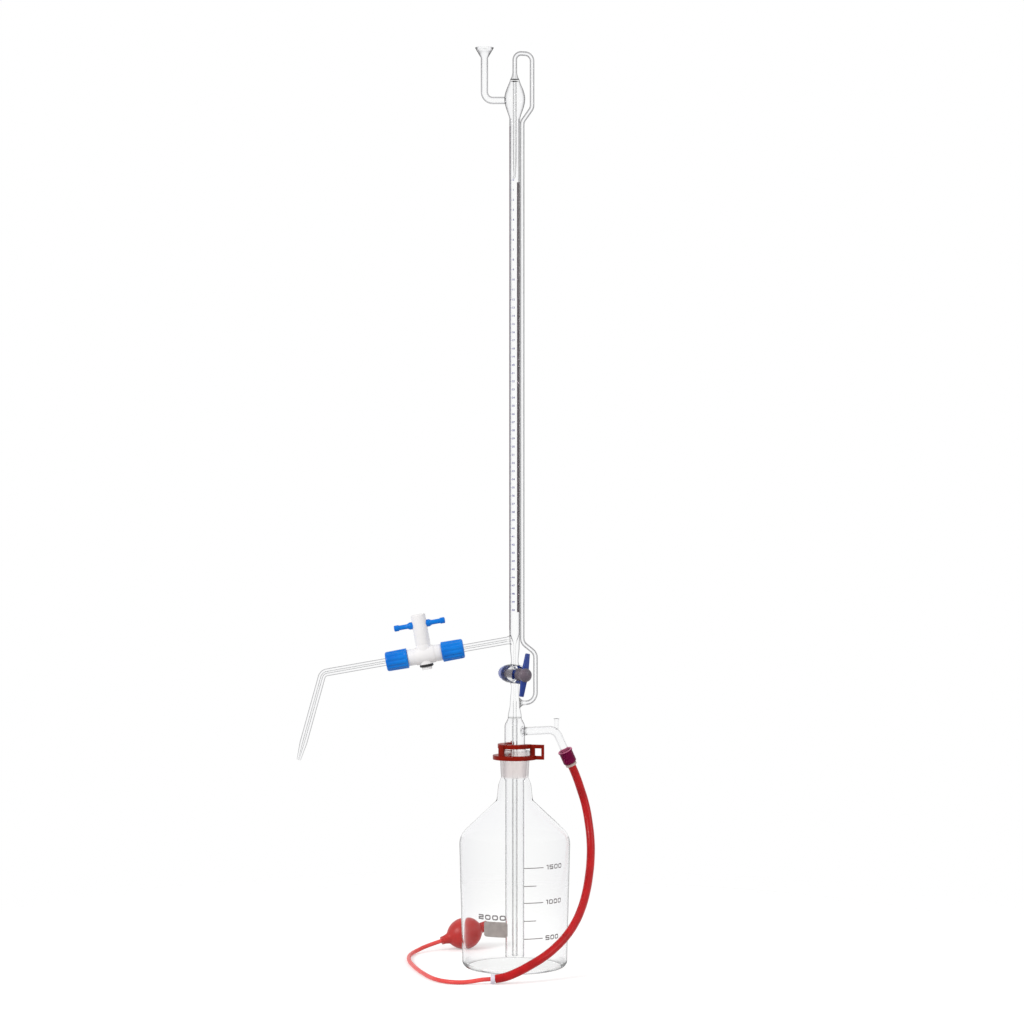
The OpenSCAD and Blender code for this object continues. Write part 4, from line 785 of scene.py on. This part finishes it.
# Delivery arm and jet
# An arm of thick-walled glass capillary slopes down from the foot of the column to the valve. The jet
# leaves the valve on the same line, is bent down over a flame and drawn out to a fine tip.
tilt, lean = math.radians(10), math.radians(15.5)
ARM_OUT = Vector((-math.cos(tilt), 0, -math.sin(tilt)))
JET_DOWN = Vector((-math.sin(lean), 0, -math.cos(lean)))
ARM_FOOT = Vector((0, 0, 392.7))
arm_across = ARM_OUT.cross(JET_DOWN)
arm_root = ARM_FOOT + 4.4 * ARM_OUT
jet_root = ARM_FOOT + 121.5 * ARM_OUT
# The bore's glass is painted dark nearly all across: painted shade along the capillary's bore.
bore_glass = glass_finish("bore_glass", rim=0.02, edge=0.02)
arm = drawn_tube("glass_arm", wide_glass, (12, 2.6), arm_root, ARM_OUT, arm_across, [
    ("draw", 2.2, 10, 2.6), ("draw", 3, 9, 2.6), ("run", 87.9)], bore_glass)
fused_root(arm, arm_root, 6.5)
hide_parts("delivery_arm")
jet = drawn_tube("glass_jet", wide_glass, (9, 2.6), jet_root, ARM_OUT, arm_across, [
    ("run", 107.45), ("bend", 8, 64.5), ("run", 81.95), ("draw", 21, 4.8, 1)], bore_glass)
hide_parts("delivery_jet")

# Pressure arm
# A side arm of the glass head bends down to the screw cap of the pressure port. A small open vent
# stands on its bend: a finger on it lets the bulb press air into the bottle.
PORT_TURN, PORT_BEND = 30, 63
port_out = aside(PORT_TURN)
port_across = port_out.cross(-UP)
port_root = 11.5 * port_out + 281.7 * UP
finger_root = 58.41 * port_out + 282.2 * UP
port_glass = glass_finish("port_glass", rim=0.45, edge=0.3)
port = drawn_tube("glass_port", port_glass, (13, 8), port_root, port_out, port_across, [
    ("draw", 2.3, 10.4, 7.4), ("draw", 2.4, 9.8, 7.2), ("run", 31.3), ("bend", 16, PORT_BEND),
    ("run", 19.4), ("draw", 0.4, 13.4, 7.2), ("run", 9.9)])
drawn_tube("glass_finger_vent", port_glass, (5.6, 3), finger_root, UP, port_across, [
    ("run", 10.2), ("draw", 1.6, 6.2, 3.6), ("draw", 1.2, 7.6, 5)])
fused_root(port, port_root, 7.5)
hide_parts("pressure_arm")

# Scale on the column
# The graduations are fired on in blue enamel: a line for every tenth of a millilitre round the left
# of the tube, longer ones at the halves and the wholes, and a number for every millilitre.
ZERO_Z, CHANGE, STEP_ABOVE, STEP_BELOW, LAST = 943.1, 12, 11.94, 9.79, 50
TICK_THICK, TICK_START, WHOLE_END, HALF_END, TENTH_END = 0.28, -88, -30, -42, -54
DIGIT_TURN, DIGIT_TALL, DIGIT_STRETCH, DIGIT_WEIGHT = -15, 3.2, 1.1, 0.08


def scale_height(volume):
    """Height of a volume's mark: the bore is narrower above the change."""
    return ZERO_Z - STEP_ABOVE * min(volume, CHANGE) - STEP_BELOW * max(volume - CHANGE, 0)


def tick_row(first, end, *runs):
    """Equal lines from a volume downwards: each run repeats what is there, at a step in millilitres."""
    tick = printed_line(TUBE_R, scale_height(first), TICK_THICK, TICK_START, end, 7)
    drop = scale_height(first + 0.1) - scale_height(first)
    for count, step in runs:
        row = tick.modifiers.new("row", "ARRAY")
        row.count = count
        row.use_relative_offset = False
        row.use_constant_offset = True
        row.constant_offset_displace = (0, 0, drop * step * 10 * MM)
        bpy.ops.object.modifier_apply(modifier="row")
    return tick


def printed_number(volume):
    """A mark's number in raised enamel, a few hundredths thick, laid on the tube."""
    bpy.ops.object.select_all(action="DESELECT")
    bpy.ops.object.text_add()
    piece = bpy.context.object
    piece.data.body = str(volume)
    piece.data.align_x = "CENTER"
    piece.data.align_y = "CENTER"
    piece.data.size = DIGIT_TALL * MM
    piece.data.extrude = INK * MM
    piece.data.offset = DIGIT_WEIGHT * MM
    piece.data.resolution_u = 4
    bpy.ops.object.convert(target="MESH")
    piece.data.transform(Matrix.Diagonal((DIGIT_STRETCH, 1, 1, 1)))
    wrapped(piece, lambda z: TUBE_R, DIGIT_TURN, scale_height(volume))
    return piece


scale_pieces = [tick_row(LAST, WHOLE_END)]
for first, wholes in ((0, CHANGE), (CHANGE, LAST - CHANGE)):
    scale_pieces.append(tick_row(first, WHOLE_END, (wholes, 1)))
    scale_pieces.append(tick_row(first + 0.5, HALF_END, (wholes, 1)))
    scale_pieces.append(tick_row(first + 0.1, TENTH_END, (4, 0.1), (2 * wholes, 0.5)))
for volume in range(LAST + 1):
    scale_pieces.append(printed_number(volume))
scale = joined("column_scale", scale_pieces)
scale.data.materials.append(moulded_finish(
    "scale_enamel", (78, 74, 150), (60, 58, 132), gloss=(0.35, 0.5), spots=(400, 2500), bump=0.1))
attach(scale, "burette")

# Reading stripe
# A dark stripe is fired on the back of the column, so that the liquid's surface shows as a sharp
# notch. A second one is fired along the tube's left side, over its whole length.
STRIPE_IN, STRIPE_OUT, STRIPE_LOW, STRIPE_HIGH = 6.56, 6.64, 404, 1008
side_stripe = spun("side_stripe", [
    (STRIPE_IN, STRIPE_LOW), (STRIPE_OUT, STRIPE_LOW),
    (STRIPE_OUT, STRIPE_HIGH), (STRIPE_IN, STRIPE_HIGH),
], 10, start=174, sweep=38)
stripe_finish = moulded_finish(
    "stripe_enamel", (126, 114, 120), (110, 100, 106), gloss=(0.4, 0.5), spots=(200, 1500), bump=0.1)
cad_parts["reading_stripe"].material_slots[0].material = stripe_finish
side_stripe.data.materials.append(stripe_finish)
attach(side_stripe, "burette")

# Joint clip
# A red plastic clip snaps round the ground joint: an upper and a lower plate, open at the front right,
# joined by a post, with two looped tabs for the fingers. It is moulded in one piece.
clip_finish = moulded_finish(
    "clip_plastic", (146, 26, 8), (120, 16, 3), gloss=(0.24, 0.36), spots=(40, 1400), bump=0.12,
    Specular_IOR_Level=0.07)
moulded_copy("joint_clip", "red_clip", "clip", clip_finish, edge=0.5)

# Drain stopcock key
# A key of glass, ground to the barrel's taper, turns in it. A blue plastic bar is pushed through its
# head as a handle, and a washer, a ring and a ribbed nut hold it at the back.
BALL_R, BALL_HALF, BALL_AT = 8.2, 5.5, 27
KEY_SMALL, KEY_LARGE, KEY_NECK = 5.78, 7.75, 5.9
THREAD_R, THREAD_START, THREAD_END = 3.5, -13.5, -26.25
ball_turns = [math.radians(126 - 6 * i) for i in range(22)]
key = spun("stopcock_key", [
    (0, THREAD_END), (THREAD_R - 0.2, THREAD_END), (THREAD_R, THREAD_END + 0.25),
    (THREAD_R, THREAD_START), (KEY_SMALL, THREAD_START), (KEY_LARGE, BARREL_HALF),
    (KEY_LARGE, BARREL_HALF + 0.6), (KEY_NECK + 1, 15.3), (KEY_NECK + 0.2, 16.8),
    (KEY_NECK, 18.5), (KEY_NECK, 20.5), (KEY_NECK + 0.3, 22.4),
    *[(BALL_R * math.sin(a), BALL_AT + BALL_HALF * math.cos(a)) for a in ball_turns],
], 72, barrel_place)
bpy.ops.object.select_all(action="DESELECT")
bpy.ops.mesh.primitive_cylinder_add(
    vertices=32, radius=WAIST_BORE * MM, depth=20 * MM, location=(0, 0, BARREL_Z * MM))
drill = bpy.context.object
bore = key.modifiers.new("bore", "BOOLEAN")
bore.operation = "DIFFERENCE"
bore.object = drill
bpy.context.view_layer.objects.active = key
bpy.ops.object.modifier_apply(modifier="bore")
bpy.data.objects.remove(drill)
key.data.materials.append(moulded_finish(
    "key_ground", (106, 93, 103), (68, 64, 78), gloss=(0.32, 0.5), spots=(70, 900), bump=0.2,
    Sheen_Weight=0.2))
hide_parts("drain_key")
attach(key, "drain_key")
bar_finish = moulded_finish(
    "drain_handle_plastic", (30, 62, 144), (14, 38, 114), gloss=(0.3, 0.45), spots=(60, 1500), bump=0.12)
moulded_copy("drain_handle", "stopcock_bar", "drain_key", bar_finish, edge=0.9)
moulded_copy("drain_washer", "stopcock_washer", "drain_washer", bar_finish,
             edge=0.15)
nut_finish = moulded_finish(
    "pale_blue_plastic", (140, 148, 194), (108, 118, 172), gloss=(0.3, 0.45), spots=(60, 1400), bump=0.12)
moulded_copy("drain_nut", "stopcock_nut", "drain_nut", nut_finish, edge=0.3)

# Delivery valve
# The valve body is turned from white plastic, with a plug that stands up out of it and carries two blue
# lever arms. A black ring and a thin nut hold the plug from below.
white_finish = moulded_finish(
    "white_plastic", (242, 240, 240), (235, 233, 234), gloss=(0.35, 0.5), spots=(50, 1200), bump=0.12)
blue_finish = moulded_finish(
    "blue_plastic", (0, 126, 222), (0, 108, 206), gloss=(0.25, 0.4), spots=(45, 1400), bump=0.12,
    Specular_IOR_Level=0.2)
moulded_copy("valve_body", "valve_block", "burette", white_finish, edge=0.4)
moulded_copy("valve_plug", "valve_stem", "valve_plug", white_finish, edge=1.2,
             segments=5)
moulded_copy("valve_handle", "valve_levers", "valve_plug", blue_finish, edge=0.3)
moulded_copy("valve_nut", "valve_lock_nut", "valve_nut", white_finish, edge=0.4)

# Screw caps
# Fluted caps, moulded in blue plastic, screw on both ends of the valve. Each presses a rubber ring
# round the glass that is pushed through it.
CAP_NEAR, CAP_FAR, CAP_R, CAP_BORE, CAP_HOLE, CAP_END = 20.7, 47.3, 12.2, 9.1, 4.8, 3.5
NEAR_ROUND, FAR_ROUND, CAP_TAPER, CAP_SKIN, RING_STEP = 1.5, 2.5, 0.4, 1.2, 1.35
FLUTES, FLUTE_DEEP, FLUTE_MARGIN, FLUTE_FADE = 12, 0.85, 1.6, 2.2
VALVE_MIDDLE = ARM_FOOT + 109.5 * ARM_OUT


def fluted_cap(name, outward):
    """A screw cap with a rounded end and shallow flutes that fade out before both rims."""
    rings = [CAP_NEAR + NEAR_ROUND + RING_STEP * i for i in range(1, 17)]
    cap = spun(name, [
        (CAP_BORE, CAP_NEAR), *arc((CAP_R - NEAR_ROUND, CAP_NEAR + NEAR_ROUND), NEAR_ROUND, -90, 0, 5),
        *[(CAP_R - CAP_TAPER * (s - CAP_NEAR) / (CAP_FAR - CAP_NEAR), s) for s in rings],
        *arc((CAP_R - CAP_TAPER - FAR_ROUND, CAP_FAR - FAR_ROUND), FAR_ROUND, 0, 90, 7),
        (CAP_HOLE, CAP_FAR), (CAP_HOLE, CAP_FAR - CAP_END), (CAP_BORE, CAP_FAR - CAP_END),
    ], 192)
    for corner in cap.data.vertices:
        x, y, s = corner.co / MM
        r = math.hypot(x, y)
        if r > CAP_R - CAP_SKIN:
            inside = min(s - CAP_NEAR, CAP_FAR - s) - FLUTE_MARGIN
            window = min(max(inside / FLUTE_FADE, 0), 1)
            groove = (0.5 + 0.5 * math.cos(FLUTES * math.atan2(y, x))) ** 2
            share = 1 - FLUTE_DEEP * groove * window / r
            corner.co = Vector((x * share, y * share, s)) * MM
    cap.data.transform(facing_along(VALVE_MIDDLE, outward))
    cap.data.materials.append(blue_finish)
    return cap


for side, outward in (("inlet", -ARM_OUT), ("outlet", ARM_OUT)):
    cap = fluted_cap(f"{side}_screw_cap", outward)
    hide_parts(f"{side}_cap")
    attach(cap, f"{side}_cap")

# Pressure port
# A plum screw cap holds the hose nozzle against the glass with a rubber ring. The nozzle is pale
# plastic, with a collar that the hose is pushed up to.
MOUTH_R = 7.3
cap_finish = moulded_finish(
    "cap_plastic", (116, 3, 60), (86, 0, 46), gloss=(0.28, 0.42), spots=(60, 1400), bump=0.12,
    Specular_IOR_Level=0.08)
# A pale pink is painted as a highlight on the cap's upward-facing rim; the same pink is the seal's own
# colour in and round the cap's mouth.
pink_seal_and_rim_highlight = moulded_finish(
    "cap_rim_highlight_and_seal_pink", (206, 112, 148), (190, 92, 132), gloss=(0.3, 0.45), spots=(60, 1400), bump=0.12)
port_cap = moulded_copy("pressure_cap", "port_screw_cap", "pressure_cap", cap_finish,
                        edge=0.4)
cap_up = math.sin(math.radians(PORT_BEND)) * UP - math.cos(math.radians(PORT_BEND)) * port_out
cap_mouth = 70.4 * port_out + 256.03 * UP
refinished(port_cap, pink_seal_and_rim_highlight, lambda at, normal: (
    normal.dot(cap_up) > 0.6 or (at - cap_mouth).cross(cap_up).length < MOUTH_R))
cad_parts["pressure_seal"].material_slots[0].material = pink_seal_and_rim_highlight
collar_finish = moulded_finish(
    "collar_plastic", (204, 186, 178), (186, 166, 158), gloss=(0.35, 0.5), spots=(60, 1400), bump=0.12)
moulded_copy("hose_nozzle", "hose_barb", "burette", collar_finish, edge=0.4)

# Rubber rings
# Black rubber rings, moulded to a round or square section, seal the stopcock's key, the valve's plug and
# the glass in the two screw caps. They are held by what presses on them.
rubber_finish = moulded_finish(
    "black_rubber", (34, 32, 34), (22, 21, 23), gloss=(0.45, 0.65), spots=(100, 1200), bump=0.2)
for node in ("drain_oring", "valve_oring", "inlet_seal", "outlet_seal"):
    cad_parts[node].material_slots[0].material = rubber_finish

# Squeeze bulb
# The bulb is moulded from red rubber, with a neck that the thin tube is pushed into. A plastic valve
# in its far end, with a loose ball, lets air in and not out.
SQUEEZE_OUT, SQUEEZE_AT = Vector((0.89644, 0.37132, 0.24192)), (-63, 126, 19.4)
SQUEEZE_R, SQUEEZE_HALF, NECK_REACH, FLARE, FLARE_LONG, RUBBER = 19, 21.5, 31, 2.5, 11, 2.4


def squeeze_face(inset, neck_r, inlet_r):
    """One face of the squeeze bulb's wall: it tapers into its neck and is blunter at its inlet."""
    points = []
    for s in range(-NECK_REACH, NECK_REACH + 1):
        end_r = inlet_r if s > 0 else neck_r + FLARE * min((s + NECK_REACH) / FLARE_LONG, 1) ** 2
        belly = (SQUEEZE_R - inset) * math.sqrt(max(1 - (s / (SQUEEZE_HALF - inset)) ** 2, 0))
        points.append(((belly ** 4 + end_r ** 4) ** 0.25, s))
    return points


bulb = spun("rubber_bulb", squeeze_face(0, 5, 6.5) + squeeze_face(RUBBER, 2.5, 4.5)[::-1],
            place=facing_along(SQUEEZE_AT, SQUEEZE_OUT))
bulb.data.materials.append(moulded_finish(
    "bulb_rubber", (204, 58, 54), (182, 44, 42), gloss=(0.3, 0.45), spots=(50, 1000), bump=0.15,
    Sheen_Weight=0.1))
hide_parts("squeeze_bulb")
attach(bulb, "burette")
moulded_copy("inlet_valve", "bulb_valve", "burette", collar_finish, edge=0.3)
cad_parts["inlet_ball"].material_slots[0].material = moulded_finish(
    "ball_plastic", (225, 225, 225), (214, 214, 214), gloss=(0.15, 0.25), spots=(100, 1500), bump=0.05)
